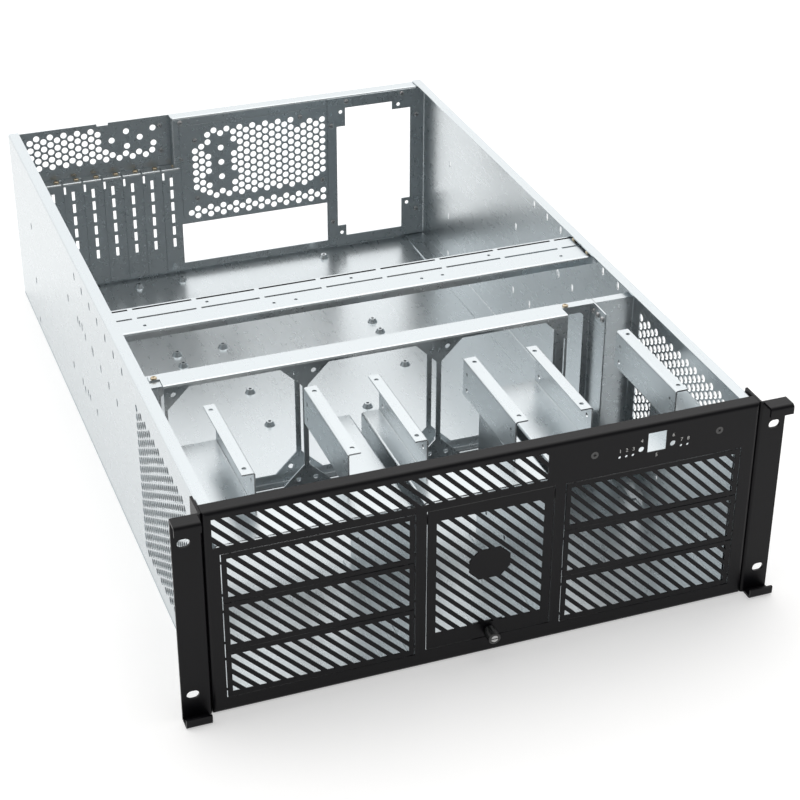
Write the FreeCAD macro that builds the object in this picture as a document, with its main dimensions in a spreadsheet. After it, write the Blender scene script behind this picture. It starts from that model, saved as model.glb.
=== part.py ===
"""Empty four-unit rackmount server case, open at the top.

Frame: X to the right seen from the front, Y from the front to the back, Z up.
The origin is under the middle of the case, at the level of its base.
While a piece is drawn, y = 0 is the front face of the front panel; every
body is then moved back by half of the overall depth.
"""

import FreeCAD, Part

import math
import os

Vector = FreeCAD.Vector

# Driving dimensions in millimetres: alias, value, meaning.
SIZES = [
    ("rack_width", 482.6, "over both rack ears"),
    ("case_width", 436.6, "over the side walls"),
    ("case_depth", 719.7, "front face to the rearmost edge"),
    ("panel_height", 176.5, "front panel"),
    ("wall_height", 174.8, "top of the side walls"),
    ("steel", 1.2, "sheet of the case"),
    ("ear_steel", 2.0, "sheet of the rack ears"),
    ("fold", 0.8, "inside radius of a fold"),
    ("gap", 0.3, "clearance between neighbouring pieces"),
    ("panel_return", 12.3, "depth of the returns round the front panel"),
    ("panel_corner", 3.2, "outside radius of the front panel's edges"),
    ("louvre_step", 10.45, "slanted slots, one to the next"),
    ("louvre_width", 5.9, "slanted slots, along X"),
    ("strip_left", 212.4, "left end of the top vent strip"),
    ("strip_length", 256.2, "top vent strip"),
    ("strip_base", 145.7, "underside of the top vent strip"),
    ("strip_height", 24.4, "top vent strip"),
    ("bay_width", 146.2, "knock-out blank of a wide bay"),
    ("bay_height", 42.25, "knock-out blank of a wide bay"),
    ("bay_base", 12.8, "underside of the lowest blank"),
    ("bay_count", 3, "blanks one above the other"),
    ("left_bay_x", -133.8, "middle of the left blanks"),
    ("right_bay_x", 132.1, "middle of the right blanks"),
    ("bay_margin", 4.2, "blank edge to its vents"),
    ("slit", 0.9, "cut line round a blank"),
    ("micro_joint", 1.6, "steel left between two slits"),
    ("joint_inset", 6.5, "corner of a blank to its first micro joint"),
    ("door_width", 100.4, "middle door"),
    ("door_height", 124.2, "middle door"),
    ("door_x", -0.9, "middle of the door"),
    ("door_base", 15.2, "underside of the door"),
    ("door_gap", 0.8, "slit round the door"),
    ("door_side", 7.0, "door edge to its vents"),
    ("door_top", 9.5, "door's top edge to its vents"),
    ("door_foot", 13.0, "door's bottom edge to its vents"),
    ("badge_width", 33.0, "solid patch in the door's vents"),
    ("badge_height", 26.0, "solid patch in the door's vents"),
    ("badge_cut", 7.7, "cut corners of the solid patch"),
    ("badge_rise", 5.2, "solid patch over the middle of the door"),
    ("pivot_drop", 8.0, "door's top edge to its hinge line"),
    ("pivot_depth", 4.0, "front face to the hinge line"),
    ("pin_radius", 1.5, "hinge pin"),
    ("pin_clearance", 0.08, "pin to the door's ears, on the radius"),
    ("pivot_ear", 3.6, "radius of the hinge ears"),
    ("screw_lift", 6.2, "door's bottom edge to the thumbscrew"),
    ("catch_width", 24.0, "strip behind the door's foot"),
    ("catch_top", 8.0, "thumbscrew to the top of that strip"),
    ("knob_radius", 4.9, "thumbscrew knob"),
    ("knob_reach", 13.6, "thumbscrew knob, out of the front face"),
    ("shank_radius", 1.9, "thumbscrew shank"),
    ("shank_reach", 5.2, "thumbscrew shank, behind the front face"),
    ("lamp_radius", 1.3, "hole of an indicator lamp"),
    ("lamp_step", 5.45, "indicator lamps, one to the next"),
    ("lamp_height", 153.1, "row of indicator lamps"),
    ("lan_lamp_x", 101.7, "first of the three left lamps"),
    ("state_lamp_x", 152.7, "first of the two right lamps"),
    ("button_radius", 2.4, "hole of a push button"),
    ("button_height", 156.5, "row of push buttons"),
    ("reset_x", 119.3, "reset button"),
    ("power_x", 145.5, "power button"),
    ("port_x", 132.2, "middle of the port opening"),
    ("port_width", 15.6, "port opening"),
    ("port_height", 17.0, "port opening"),
    ("port_base", 152.4, "underside of the port opening"),
    ("wall_foot", 22.0, "flange of a side wall on the floor"),
    ("wall_rim", 10.0, "flange along the top of a side wall"),
    ("vent_step", 16.0, "vent holes, one to the next"),
    ("vent_across", 12.8, "vent hole, corner to corner"),
    ("side_vent_front", 52.0, "front end of the side vents"),
    ("side_vent_back", 200.0, "rear end of the side vents"),
    ("side_vent_base", 14.0, "underside of the side vents"),
    ("side_vent_top", 152.0, "top of the side vents"),
    ("rear_plane", 706.5, "inner face of the rear panel"),
    ("recess_edge", -55.0, "side of the deep rear bay for the card slots"),
    ("ledge_height", 118.1, "top of the ledge over the card slots"),
    ("card_step", 20.32, "card slots, one to the next"),
    ("card_count", 7, "card slots"),
    ("first_card_x", -182.1, "middle of the first slot cover"),
    ("cover_width", 18.4, "slot cover"),
    ("cover_base", 4.0, "foot of a slot cover"),
    ("cover_vent_width", 3.1, "vent in a slot cover"),
    ("cover_vent_height", 9.6, "vent in a slot cover"),
    ("cover_vent_step", 13.7, "vents in a slot cover, one to the next"),
    ("cover_vent_count", 6, "vents in a slot cover"),
    ("card_opening_width", 15.0, "opening behind a slot cover"),
    ("port_plate_x", 28.35, "middle of the board's port opening"),
    ("port_plate_width", 158.75, "board's port opening"),
    ("port_plate_height", 44.45, "board's port opening"),
    ("port_plate_base", 11.0, "underside of the board's port opening"),
    ("screen_left", -49.0, "left edge of the rear vent screen"),
    ("screen_right", 106.0, "right edge of the rear vent screen"),
    ("screen_base", 60.0, "underside of the rear vent screen"),
    ("screen_top", 164.0, "top of the rear vent screen"),
    ("screen_border", 9.0, "solid border of the rear vent screen"),
    ("supply_x", 160.6, "middle of the power supply plate"),
    ("supply_width", 103.0, "power supply plate"),
    ("supply_base", 5.0, "underside of the power supply plate"),
    ("supply_top", 172.0, "top of the power supply plate"),
    ("supply_hole_x", 123.5, "left mounting holes of the power supply"),
    ("supply_hole_z", 18.5, "lowest mounting hole of the power supply"),
    ("supply_hole_radius", 2.0, "mounting hole of the power supply"),
    ("brace_front", 280.6, "front edge of the cross brace"),
    ("brace_back", 326.0, "rear edge of the cross brace"),
    ("brace_drop", 12.0, "flanges of the cross brace"),
    ("brace_top", 171.5, "top of the cross brace"),
    ("fan_tab", 8.0, "tab at either end of the fan wall"),
    ("fan_front", 188.0, "front face of the fan wall"),
    ("fan_deep", 22.5, "fan wall, front to back"),
    ("fan_top", 171.5, "top of the fan wall"),
    ("fan_base", 48.5, "underside of the fan wall"),
    ("fan_left", -197.5, "left end of the fan wall"),
    ("fan_step", 114.2, "fans, one to the next"),
    ("fan_count", 3, "fans side by side"),
    ("fan_opening", 110.0, "opening for a fan"),
    ("fan_chamfer", 18.0, "cut corner of a fan opening"),
    ("fan_lift", 9.5, "underside of the fan wall to its openings"),
    ("fan_screw_step", 99.5, "screw holes of a fan"),
    ("fan_screw_radius", 2.2, "screw hole of a fan"),
    ("pass_width", 31.0, "cable pass beside the fan wall"),
    ("pass_flange", 30.0, "flange of the cable pass towards the front"),
    ("shelf_deep", 8.0, "flange on top of the cable pass"),
    ("cage_deep", 150.0, "rear end of the drive cages"),
    ("cage_top", 139.5, "top sheet of the drive cages"),
    ("cage_left_x", -133.2, "middle of the left cage"),
    ("cage_centre_x", 1.5, "middle of the centre cage"),
    ("cage_right_x", 133.2, "middle of the right cage"),
    ("cage_wide", 149.4, "left and right cages"),
    ("cage_narrow", 102.0, "centre cage"),
    ("cage_foot", 8.0, "flange of a cage on the floor"),
    ("pocket_left_x", -131.4, "middle of the left drive pocket"),
    ("pocket_right_x", 135.5, "middle of the right drive pocket"),
    ("pocket_width", 70.0, "drive pocket between its rails"),
    ("pocket_front", 46.0, "front end of a drive pocket"),
    ("rail_top", 171.5, "top of the drive rails"),
    ("rail_rim", 10.2, "flange along a drive rail"),
    ("rail_hole_radius", 1.9, "screw hole in a drive rail"),
    ("rail_hole_inset", 8.0, "end of a rail to its screw holes"),
    ("boss_radius", 5.0, "foot of a board boss"),
    ("boss_top_radius", 2.9, "top of a board boss"),
    ("boss_height", 4.2, "board boss over the floor"),
    ("boss_hole_radius", 1.5, "thread of a board boss"),
    ("ear_face", 0.8, "front face of an ear behind the panel's"),
    ("ear_hole_x", 232.55, "rack hole to the middle"),
    ("ear_hole_low", 21.7, "lower rack hole"),
    ("ear_hole_step", 133.35, "rack holes, one to the other"),
    ("ear_slot_length", 9.6, "rack hole, end to end"),
    ("ear_slot_width", 7.2, "rack hole"),
    ("ear_side", 25.0, "flange of an ear along the wall"),
    ("ear_lip", 10.5, "grip flange of an ear, out of the front"),
    ("ear_curl", 8.0, "curled edge of a grip flange"),
]

doc = FreeCAD.newDocument("rackmount_case")
sheet = doc.addObject("Spreadsheet::Sheet", "Sizes")
for row, (alias, value, meaning) in enumerate(SIZES, start=1):
    sheet.set(f"A{row}", alias)
    sheet.set(f"B{row}", str(value))
    sheet.set(f"C{row}", meaning)
    sheet.setAlias(f"B{row}", alias)
doc.recompute()


def size(alias):
    """Return a driving dimension from the spreadsheet."""
    return float(sheet.get(alias))


STEEL = size("steel")
HALF_WIDTH = size("case_width") / 2
WALL_INSIDE = HALF_WIDTH - STEEL
FRONT_END = size("panel_return") + size("gap")
FOLD_OUT = size("fold") + STEEL

REAR_TOP = size("wall_height") - STEEL - size("gap")

bodies = []
drawings = {}


# ---------------------------------------------------------------- drawing

def new_body(label):
    """Start a sub-part; its origin is moved back by half of the depth."""
    body = doc.addObject("PartDesign::Body", label)
    body.Label = label
    body.setExpression("Placement.Base.y", "(Sizes.knob_reach - Sizes.case_depth) / 2")
    bodies.append(body)
    return body


def new_sketch(body, role, name, offset="0"):
    """Add a sketch on an origin plane; offset is an expression along its normal."""
    sketch = body.newObject("Sketcher::SketchObject", f"{body.Name}_{name}")
    plane = next(f for f in body.Origin.OriginFeatures if f.Role == role)
    sketch.AttachmentSupport = [(plane, "")]
    sketch.MapMode = "FlatFace"
    sketch.setExpression("AttachmentOffset.Base.z", offset)
    return sketch


def draw(sketch, edges):
    """Collect edges for a sketch; its first feature puts them in at one go."""
    drawings.setdefault(sketch.Name, []).extend(edges)


def point(u, v):
    """Return a sketch point as a vector."""
    return Vector(u, v, 0)


def polygon_lines(corners):
    """Return the lines of a closed outline."""
    following = corners[1:] + corners[:1]
    return [Part.LineSegment(point(*a), point(*b)) for a, b in zip(corners, following)]


def draw_polygon(sketch, corners):
    """Draw a closed outline of straight lines."""
    draw(sketch, polygon_lines(corners))


def draw_box(sketch, left, low, right, high):
    """Draw a rectangle from its left, low, right and high edges."""
    draw_polygon(sketch, [(left, low), (right, low), (right, high), (left, high)])


def draw_centred(sketch, u, v, width, height):
    """Draw a rectangle round its middle."""
    draw_box(sketch, u - width / 2, v - height / 2, u + width / 2, v + height / 2)


def draw_circle(sketch, u, v, radius):
    """Draw a circle."""
    draw(sketch, [Part.Circle(point(u, v), Vector(0, 0, 1), radius)])


def draw_regular(sketch, u, v, radius, sides, turn=0.0):
    """Draw a regular polygon, its first corner turned from the first axis."""
    angles = [turn + 2 * math.pi * k / sides for k in range(sides)]
    draw_polygon(sketch, [(u + radius * math.cos(a), v + radius * math.sin(a)) for a in angles])


def draw_chamfered(sketch, u, v, width, height, cut):
    """Draw a rectangle round its middle with four cut corners."""
    right, high = width / 2, height / 2
    corners = []
    for sx, sz, first in ((1, -1, True), (1, 1, False), (-1, 1, True), (-1, -1, False)):
        along = (u + sx * (right - cut), v + sz * high)
        across = (u + sx * right, v + sz * (high - cut))
        corners += [along, across] if first else [across, along]
    draw_polygon(sketch, corners)


def draw_fold(sketch, path, thickness, radius):
    """Draw the section of a folded sheet.

    path holds the corners of the sheet's left-hand surface, as it is walked;
    the steel lies on the right of it. radius is the inside radius of a fold.
    """
    points = [Vector(u, v, 0) for u, v in path]
    steps = [(b - a).normalize() for a, b in zip(points, points[1:])]
    rights = [Vector(s.y, -s.x, 0) for s in steps]
    edges = []
    sides = []
    for shift in (0.0, thickness):
        corners = [points[0] + rights[0] * shift]
        for i in range(1, len(points) - 1):
            bisector = rights[i - 1] + rights[i]
            corners.append(points[i] + bisector * (shift / (1 + rights[i - 1].dot(rights[i]))))
        corners.append(points[-1] + rights[-1] * shift)
        sides.append(corners)
    for side, corners in enumerate(sides):
        cursor = corners[0]
        for i in range(1, len(corners) - 1):
            before, after = steps[i - 1], steps[i]
            turn = before.x * after.y - before.y * after.x
            inner = (turn > 0) == (side == 0)
            bend = radius if inner else radius + thickness
            angle = before.getAngle(after)
            setback = bend * math.tan(angle / 2)
            start = corners[i] - before * setback
            end = corners[i] + after * setback
            left = Vector(-before.y, before.x, 0) * (1 if turn > 0 else -1)
            centre = start + left * bend
            middle = centre + (corners[i] - centre).normalize() * bend
            edges.append(Part.LineSegment(cursor, start))
            edges.append(Part.Arc(start, middle, end))
            cursor = end
        edges.append(Part.LineSegment(cursor, corners[-1]))
    edges.append(Part.LineSegment(sides[0][0], sides[1][0]))
    edges.append(Part.LineSegment(sides[0][-1], sides[1][-1]))
    draw(sketch, edges)


def draw_louvres(sketch, left, low, right, high, patch=None):
    """Draw slots slanted by 45 degrees, clipped to a rectangle.

    Slots run down to the right. patch is an optional box kept solid.
    """
    width = size("louvre_width")
    step = size("louvre_step")
    frame = Part.makePlane(right - left, high - low, point(left, low))
    if patch:
        frame = frame.cut(patch)
    drop = high - low
    count = int((right - left + drop) / step) + 1
    for k in range(count):
        top = left - drop + k * step
        corners = [(top, high), (top + width, high), (top + width + drop, low), (top + drop, low)]
        ribbon = Part.Face(Part.makePolygon([point(*c) for c in corners + corners[:1]]))
        for face in frame.common(ribbon).Faces:
            if face.Area > width:
                draw(sketch, [Part.LineSegment(*[v.Point for v in e.Vertexes]) for e in face.OuterWire.Edges])


# --------------------------------------------------------------- features

def add_pad(body, sketch, length, back=False, middle=False):
    """Extrude a sketch by an expression, along its normal or against it."""
    sketch.addGeometry(drawings.pop(sketch.Name), False)
    pad = body.newObject("PartDesign::Pad", f"{sketch.Name}_pad")
    pad.Profile = sketch
    pad.Refine = False
    pad.setExpression("Length", length)
    pad.Reversed = back
    if middle:
        pad.SideType = "Symmetric"
    doc.recompute()
    return pad


def add_cut(body, sketch, length=None, back=False):
    """Cut a sketch through the whole body, or by an expression to one side."""
    before = body.Shape.Volume
    sketch.addGeometry(drawings.pop(sketch.Name), False)
    pocket = body.newObject("PartDesign::Pocket", f"{sketch.Name}_cut")
    pocket.Profile = sketch
    pocket.Refine = False
    if length is None:
        pocket.Type = "ThroughAll"
        pocket.SideType = "Symmetric"
    else:
        pocket.setExpression("Length", length)
        pocket.Reversed = back
    doc.recompute()
    if not body.Shape.Volume < before:
        raise ValueError(f"{pocket.Name} cuts nothing")
    return pocket


def repeat(body, feature, sketch, axis, step, count):
    """Repeat a feature in a row along an axis of its sketch."""
    if count < 2:
        return
    row = body.newObject("PartDesign::LinearPattern", f"{feature.Name}_row")
    row.Originals = [feature]
    row.Direction = (sketch, [axis])
    row.Length = (count - 1) * step
    row.Occurrences = count
    row.Refine = False
    body.Tip = row
    doc.recompute()


def add_vents(body, role, name, left, low, right, high):
    """Cut a close-packed field of hexagonal vents, as two patterned columns."""
    step = size("vent_step")
    radius = size("vent_across") / 2
    column_step = step * math.sqrt(3) / 2
    columns = int((right - left - 2 * radius) / column_step) + 1
    rows = int((high - low - 2 * radius) / step) + 1
    first = (left + right - (columns - 1) * column_step) / 2
    for odd in range(min(2, columns)):
        column = new_sketch(body, role, f"{name}_column{odd}")
        for row in range(rows - odd):
            draw_regular(column, first + odd * column_step, high - radius - (row + 0.5 * odd) * step,
                         radius, 6)
        pocket = add_cut(body, column)
        repeat(body, pocket, column, "H_Axis", 2 * column_step, (columns + 1 - odd) // 2)


def folded_piece(label, role, path, length, offset="0", thickness=None, back=False, middle=False):
    """Make a folded sheet: a section on an origin plane, extruded."""
    body = new_body(label)
    section = new_sketch(body, role, "section", offset)
    draw_fold(section, path, thickness or STEEL, size("fold"))
    add_pad(body, section, length, back, middle)
    return body


# ------------------------------------------------------------------ floor

def build_floor():
    """Floor sheet with the raised bosses for boards of several sizes."""
    body = new_body("floor_panel")
    outline = new_sketch(body, "XY_Plane", "outline")
    back = size("rear_plane") - size("gap")
    draw_box(outline, -HALF_WIDTH, FRONT_END, HALF_WIDTH, size("case_depth"))
    add_pad(body, outline, "Sizes.steel")
    board_right = size("port_plate_x") + 67.9
    columns = [board_right - across for across in (201.6, 155.6, 60.6, 0.0)]
    rows = [back - away for away in (19.3, 173.5, 196.5, 267.0, 329.5)]
    spots = [(columns[0], rows[0]), (columns[1], rows[0]), (columns[3], rows[0]),
             (columns[0], rows[1]), (columns[1], rows[1]), (columns[3], rows[1]),
             (columns[0], rows[2]), (columns[3], rows[2]),
             (columns[1], rows[3]), (columns[3], rows[3]),
             (columns[1], rows[4]), (columns[2], rows[4])]
    foot, top, hole = size("boss_radius"), size("boss_top_radius"), size("boss_hole_radius")
    level = STEEL + size("boss_height")
    for number, (x, y) in enumerate(spots, start=1):
        boss = new_sketch(body, "XZ_Plane", f"boss{number}", f"{-y}")
        boss.setExpression("AttachmentOffset.Base.x", f"{x}")
        boss.addGeometry(polygon_lines([(hole, STEEL / 2), (foot, STEEL / 2), (foot, STEEL), (top, level),
                                        (hole, level)]), False)
        turned = body.newObject("PartDesign::Revolution", f"boss{number}_turned")
        turned.Profile = boss
        turned.ReferenceAxis = (boss, ["V_Axis"])
        turned.Angle = 360
        doc.recompute()
    return body


# ------------------------------------------------------------- side walls

def build_wall(label, side):
    """Side wall with a foot on the floor, a rim along the top and its vents."""
    outer = side * HALF_WIDTH
    foot = side * (HALF_WIDTH - size("wall_foot"))
    rim = side * (HALF_WIDTH - size("wall_rim"))
    base, top = STEEL, size("wall_height")
    path = [(foot, base), (outer, base), (outer, top), (rim, top)]
    if side > 0:
        path.reverse()
    body = folded_piece(label, "XZ_Plane", path, "Sizes.case_depth - Sizes.panel_return - Sizes.gap",
                        "-Sizes.panel_return - Sizes.gap", back=True)
    add_vents(body, "YZ_Plane", "vents", size("side_vent_front"), size("side_vent_base"),
              size("side_vent_back"), size("side_vent_top"))
    vents = new_sketch(body, "YZ_Plane", "slots")
    slots = ((626.8, 57.1), (628.8, 11.5 + 8.0), (455.9, 121.7), (455.9, 52.6), (355.7, 118.0),
             (346.0, 122.6), (325.7, 118.0), (560.0, 90.0), (260.0, 90.0))
    for y, z in slots:
        draw_centred(vents, y, z, 2.6, 7.0)
    add_cut(body, vents)
    reach = HALF_WIDTH - size("wall_foot") - 1
    relief = new_sketch(body, "XY_Plane", "foot_relief", "3 * Sizes.steel")
    draw_box(relief, min(side * reach, side * (HALF_WIDTH - 8)), FRONT_END - 1,
             max(side * reach, side * (HALF_WIDTH - 8)), size("cage_deep") + size("gap"))
    add_cut(body, relief, "3 * Sizes.steel")
    return body


# ------------------------------------------------------------------- rear

def build_rear_panel():
    """Rear panel: lower zone full width, upper zone on the right only."""
    body = new_body("rear_panel")
    base = 2 * STEEL
    ledge = size("ledge_height") - STEEL
    top = REAR_TOP
    edge = size("recess_edge")
    deep = size("case_depth")
    plane = size("rear_plane")
    section = new_sketch(body, "YZ_Plane", "section", "-Sizes.case_width / 2 + Sizes.steel + Sizes.gap")
    draw_fold(section, [(deep, base), (plane, base), (plane, top), (deep, top)], STEEL, size("fold"))
    add_pad(body, section, "Sizes.case_width - 2 * Sizes.steel - 2 * Sizes.gap")
    upper = new_sketch(body, "XZ_Plane", "upper_left")
    last = size("first_card_x") + (size("card_count") - 1) * size("card_step")
    notch = last + size("cover_width") / 2 + size("gap")
    over = size("ledge_height") + STEEL + size("gap")
    draw_polygon(upper, [(-HALF_WIDTH, ledge), (notch, ledge), (notch, over), (edge, over),
                         (edge, top + STEEL), (-HALF_WIDTH, top + STEEL)])
    add_cut(body, upper)
    openings = new_sketch(body, "XZ_Plane", "openings")
    for i in range(int(size("card_count"))):
        x = size("first_card_x") + i * size("card_step")
        left = x - size("cover_width") / 2 + size("gap")
        draw_box(openings, left, size("cover_base") + 10, left + size("card_opening_width"),
                 ledge - size("gap"))
    half = size("port_plate_width") / 2
    low = size("port_plate_base")
    draw_box(openings, size("port_plate_x") - half + size("gap"), low, size("port_plate_x") + half,
             low + size("port_plate_height"))
    border = size("screen_border") - 2
    draw_box(openings, size("screen_left") + border, size("screen_base") + border,
             size("screen_right") - border, size("screen_top") - border)
    reach = size("supply_width") / 2 - 6
    draw_box(openings, size("supply_x") - reach + 2, size("supply_base") + 6,
             size("supply_x") + reach, size("supply_top") - 6)
    add_cut(body, openings, "Sizes.rear_plane + 2 * Sizes.steel + Sizes.fold")
    return body


def build_rear_bracket():
    """Ledge over the card slots and the vented sheet that rises behind it."""
    front, back = size("rear_plane"), size("case_depth")
    ledge, top = size("ledge_height"), REAR_TOP
    path = [(front, ledge), (back - STEEL, ledge), (back - STEEL, top)]
    body = folded_piece("rear_bracket", "YZ_Plane", path,
                        "Sizes.recess_edge + Sizes.case_width / 2 - Sizes.steel - Sizes.gap",
                        "-Sizes.case_width / 2 + Sizes.steel + Sizes.gap")
    cheek = new_sketch(body, "YZ_Plane", "cheek", "Sizes.recess_edge - Sizes.steel")
    draw_box(cheek, front + STEEL + size("gap"), ledge + STEEL + size("gap"), back, top)
    add_pad(body, cheek, "Sizes.steel")
    add_vents(body, "XZ_Plane", "vents", -206, 126, -118, top - 2)
    vents = new_sketch(body, "XZ_Plane", "knockouts")
    for x, z in ((-116.6, 153.0), (-103.0, 158.0), (-89.0, 147.0), (-75.5, 160.0), (-75.5, 143.0)):
        draw_regular(vents, x, z, 3.2, 6)
    add_cut(body, vents)
    notch = new_sketch(body, "XZ_Plane", "notch")
    draw_box(notch, -130.0, top - 2.4, -118.5, top + STEEL)
    add_cut(body, notch)
    return body


def build_slot_cover(number):
    """Cover of one card slot: vented strip with a screw tab on the ledge."""
    x = size("first_card_x") + (number - 1) * size("card_step")
    front = size("rear_plane")
    top = size("ledge_height") + STEEL
    back = size("case_depth") - STEEL - size("gap") - 1
    path = [(front - STEEL, size("cover_base")), (front - STEEL, top), (back, top)]
    body = folded_piece(f"slot_cover_{number}", "YZ_Plane", path, "Sizes.cover_width",
                        f"Sizes.first_card_x + {number - 1} * Sizes.card_step", middle=True)
    vents = new_sketch(body, "XZ_Plane", "vents")
    first = top - 14.0
    for i in range(int(size("cover_vent_count"))):
        draw_centred(vents, x, first - i * size("cover_vent_step"), size("cover_vent_width"),
                     size("cover_vent_height"))
    left = x - size("cover_width") / 2
    draw_box(vents, left - 1, size("ledge_height") - 10, left + 2.2, size("ledge_height") - FOLD_OUT)
    add_cut(body, vents)
    return body


def build_screen():
    """Vented plate screwed over the rear fan opening."""
    body = new_body("rear_screen")
    outline = new_sketch(body, "XZ_Plane", "outline", "-Sizes.rear_plane")
    left, right = size("screen_left"), size("screen_right")
    low, high = size("screen_base"), size("screen_top")
    draw_box(outline, left, low, right, high)
    add_pad(body, outline, "Sizes.steel")
    border = size("screen_border")
    knockout_x = left + 35.0
    add_vents(body, "XZ_Plane", "left_vents", left + border, low + border, knockout_x - 10, high - border)
    add_vents(body, "XZ_Plane", "right_vents", knockout_x + 8, low + border, right - border, high - border)
    holes = new_sketch(body, "XZ_Plane", "knockouts")
    for i in (-1, 0, 1):
        draw_regular(holes, knockout_x, (low + high) / 2 + i * 15.0, 3.2, 6)
    add_cut(body, holes)
    return body


def build_supply_plate():
    """Adapter plate for the power supply, which stands on its side."""
    body = new_body("supply_plate")
    outline = new_sketch(body, "XZ_Plane", "outline", "-Sizes.rear_plane")
    middle, half = size("supply_x"), size("supply_width") / 2
    low, high = size("supply_base"), size("supply_top")
    draw_box(outline, middle - half, low, middle + half, high)
    add_pad(body, outline, "Sizes.steel")
    hole_x, hole_z = size("supply_hole_x"), size("supply_hole_z")
    opening = new_sketch(body, "XZ_Plane", "opening")
    left, right = hole_x - 4.5, hole_x + 77.5
    bottom, top = hole_z - 4.0, hole_z + 142.0
    step_x, step_z = 9.5, 12.5
    draw_polygon(opening, [
        (left + step_x, bottom), (right - step_x, bottom), (right - step_x, bottom + 33.5),
        (right, bottom + 33.5), (right, top - 9.0), (right - 20.5, top - 9.0), (right - 20.5, top),
        (left + step_x, top), (left + step_x, top - 20.0), (left, top - 20.0),
        (left, bottom + step_z), (left + step_x, bottom + step_z)])
    for across, up in ((0, 0), (0, 138), (64, 138), (74, 24)):
        draw_circle(opening, hole_x + across, hole_z + up, size("supply_hole_radius"))
    add_cut(body, opening)
    return body


# -------------------------------------------------------- brace, fan wall

def build_brace():
    """Channel across the case with two rows of long slots."""
    front, back = size("brace_front"), size("brace_back")
    top, low = size("brace_top"), size("brace_top") - size("brace_drop")
    path = [(back, low), (back, top), (front, top), (front, low)]
    body = folded_piece("cross_brace", "YZ_Plane", list(reversed(path)),
                        "Sizes.case_width - 2 * Sizes.steel - 2 * Sizes.gap", middle=True)
    slots = new_sketch(body, "XY_Plane", "slots")
    pitch = 62.0
    for y, shift in ((back - 12.0, 0.0), (front + 14.5, pitch / 2)):
        for i in range(-3, 4):
            x = i * pitch + shift
            if abs(x) < WALL_INSIDE - pitch / 2:
                draw_centred(slots, x, y, pitch - 5.0, 1.6)
    for x in (-185, -95, 0, 95, 185):
        draw_regular(slots, x, (front + back) / 2, 1.8, 6)
    add_cut(body, slots)
    return body


def build_fan_wall():
    """Hollow wall for three fans: front sheet, top, rear sheet and inner lips."""
    front, back = size("fan_front"), size("fan_front") + size("fan_deep")
    top, low = size("fan_top"), size("fan_base")
    lip = 7.0
    path = [(front + lip, low), (front, low), (front, top), (back, top), (back, low), (back - lip, low)]
    body = folded_piece("fan_wall", "YZ_Plane", path, "Sizes.fan_count * Sizes.fan_step",
                        "Sizes.fan_left")
    openings = new_sketch(body, "XZ_Plane", "fans")
    middle = low + size("fan_lift") + size("fan_opening") / 2
    reach = size("fan_screw_step") / 2
    for i in range(int(size("fan_count"))):
        x = size("fan_left") + (i + 0.5) * size("fan_step")
        draw_chamfered(openings, x, middle, size("fan_opening"), size("fan_opening"), size("fan_chamfer"))
        for sx in (-1, 1):
            for sz in (-1, 1):
                draw_circle(openings, x + sx * reach, middle + sz * reach, size("fan_screw_radius"))
    add_cut(body, openings)
    left = size("fan_left")
    right = left + size("fan_count") * size("fan_step")
    tab, lap = size("fan_tab"), size("wall_rim")
    tabs = new_sketch(body, "XY_Plane", "tabs", "Sizes.fan_top - Sizes.steel")
    for start, end in ((left - tab, left + lap), (right - lap, right + tab)):
        draw_box(tabs, start, back - lap, end, back - FOLD_OUT)
    add_pad(body, tabs, "Sizes.steel")
    return body


# ------------------------------------------------------------ drive cages

def build_cage(label, centre, width, pocket_x):
    """Drive cage: a hat-shaped sheet with a drive pocket folded up on top."""
    half = size(width) / 2
    left, right = size(centre) - half, size(centre) + half
    base, top = STEEL, size("cage_top")
    foot = size("cage_foot")
    path = [(left + foot, base), (left, base), (left, top), (right, top), (right, base),
            (right - foot, base)]
    body = folded_piece(label, "XZ_Plane", path, "Sizes.cage_deep - Sizes.panel_return - Sizes.gap",
                        "-Sizes.panel_return - Sizes.gap", back=True)
    inner = size("pocket_width") / 2
    window = new_sketch(body, "XY_Plane", "window", "Sizes.cage_top")
    draw_box(window, pocket_x - inner - FOLD_OUT, size("pocket_front"), pocket_x + inner + FOLD_OUT,
             size("cage_deep") + 1)
    add_cut(body, window, "Sizes.cage_top / 2")
    for side, name in ((-1, "rail_left"), (1, "rail_right")):
        web = pocket_x + side * inner
        seam = web + side * (FOLD_OUT + 0.5)
        rail = [(seam, top - STEEL), (web, top - STEEL), (web, size("rail_top")),
                (web + side * size("rail_rim"), size("rail_top"))]
        section = new_sketch(body, "XZ_Plane", name, "-Sizes.pocket_front")
        draw_fold(section, rail if side > 0 else rail[::-1], STEEL, size("fold"))
        add_pad(body, section, "Sizes.cage_deep - Sizes.pocket_front", back=True)
    ends = (size("pocket_front") + size("rail_hole_inset"), size("cage_deep") - size("rail_hole_inset"))
    rim_x = inner + size("rail_rim") * 0.6
    holes = new_sketch(body, "XY_Plane", "rim_holes", "Sizes.rail_top")
    for y in ends:
        for side in (-1, 1):
            draw_regular(holes, pocket_x + side * rim_x, y, size("rail_hole_radius"), 8)
    add_cut(body, holes, "Sizes.steel * 2")
    webs = new_sketch(body, "YZ_Plane", "web_holes")
    rise = size("rail_top") - top
    for y in ends:
        for share in (0.22, 0.66):
            draw_regular(webs, y, top + rise * share, size("rail_hole_radius"), 8)
    for level in range(int(size("bay_count"))):
        z = size("bay_base") + (level + 0.5) * size("bay_height")
        for y in (40.0, 92.0, 130.0):
            draw_regular(webs, y, z, 2.0, 6)
    add_cut(body, webs)
    return body


# ------------------------------------------------------------ fan brackets

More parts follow.
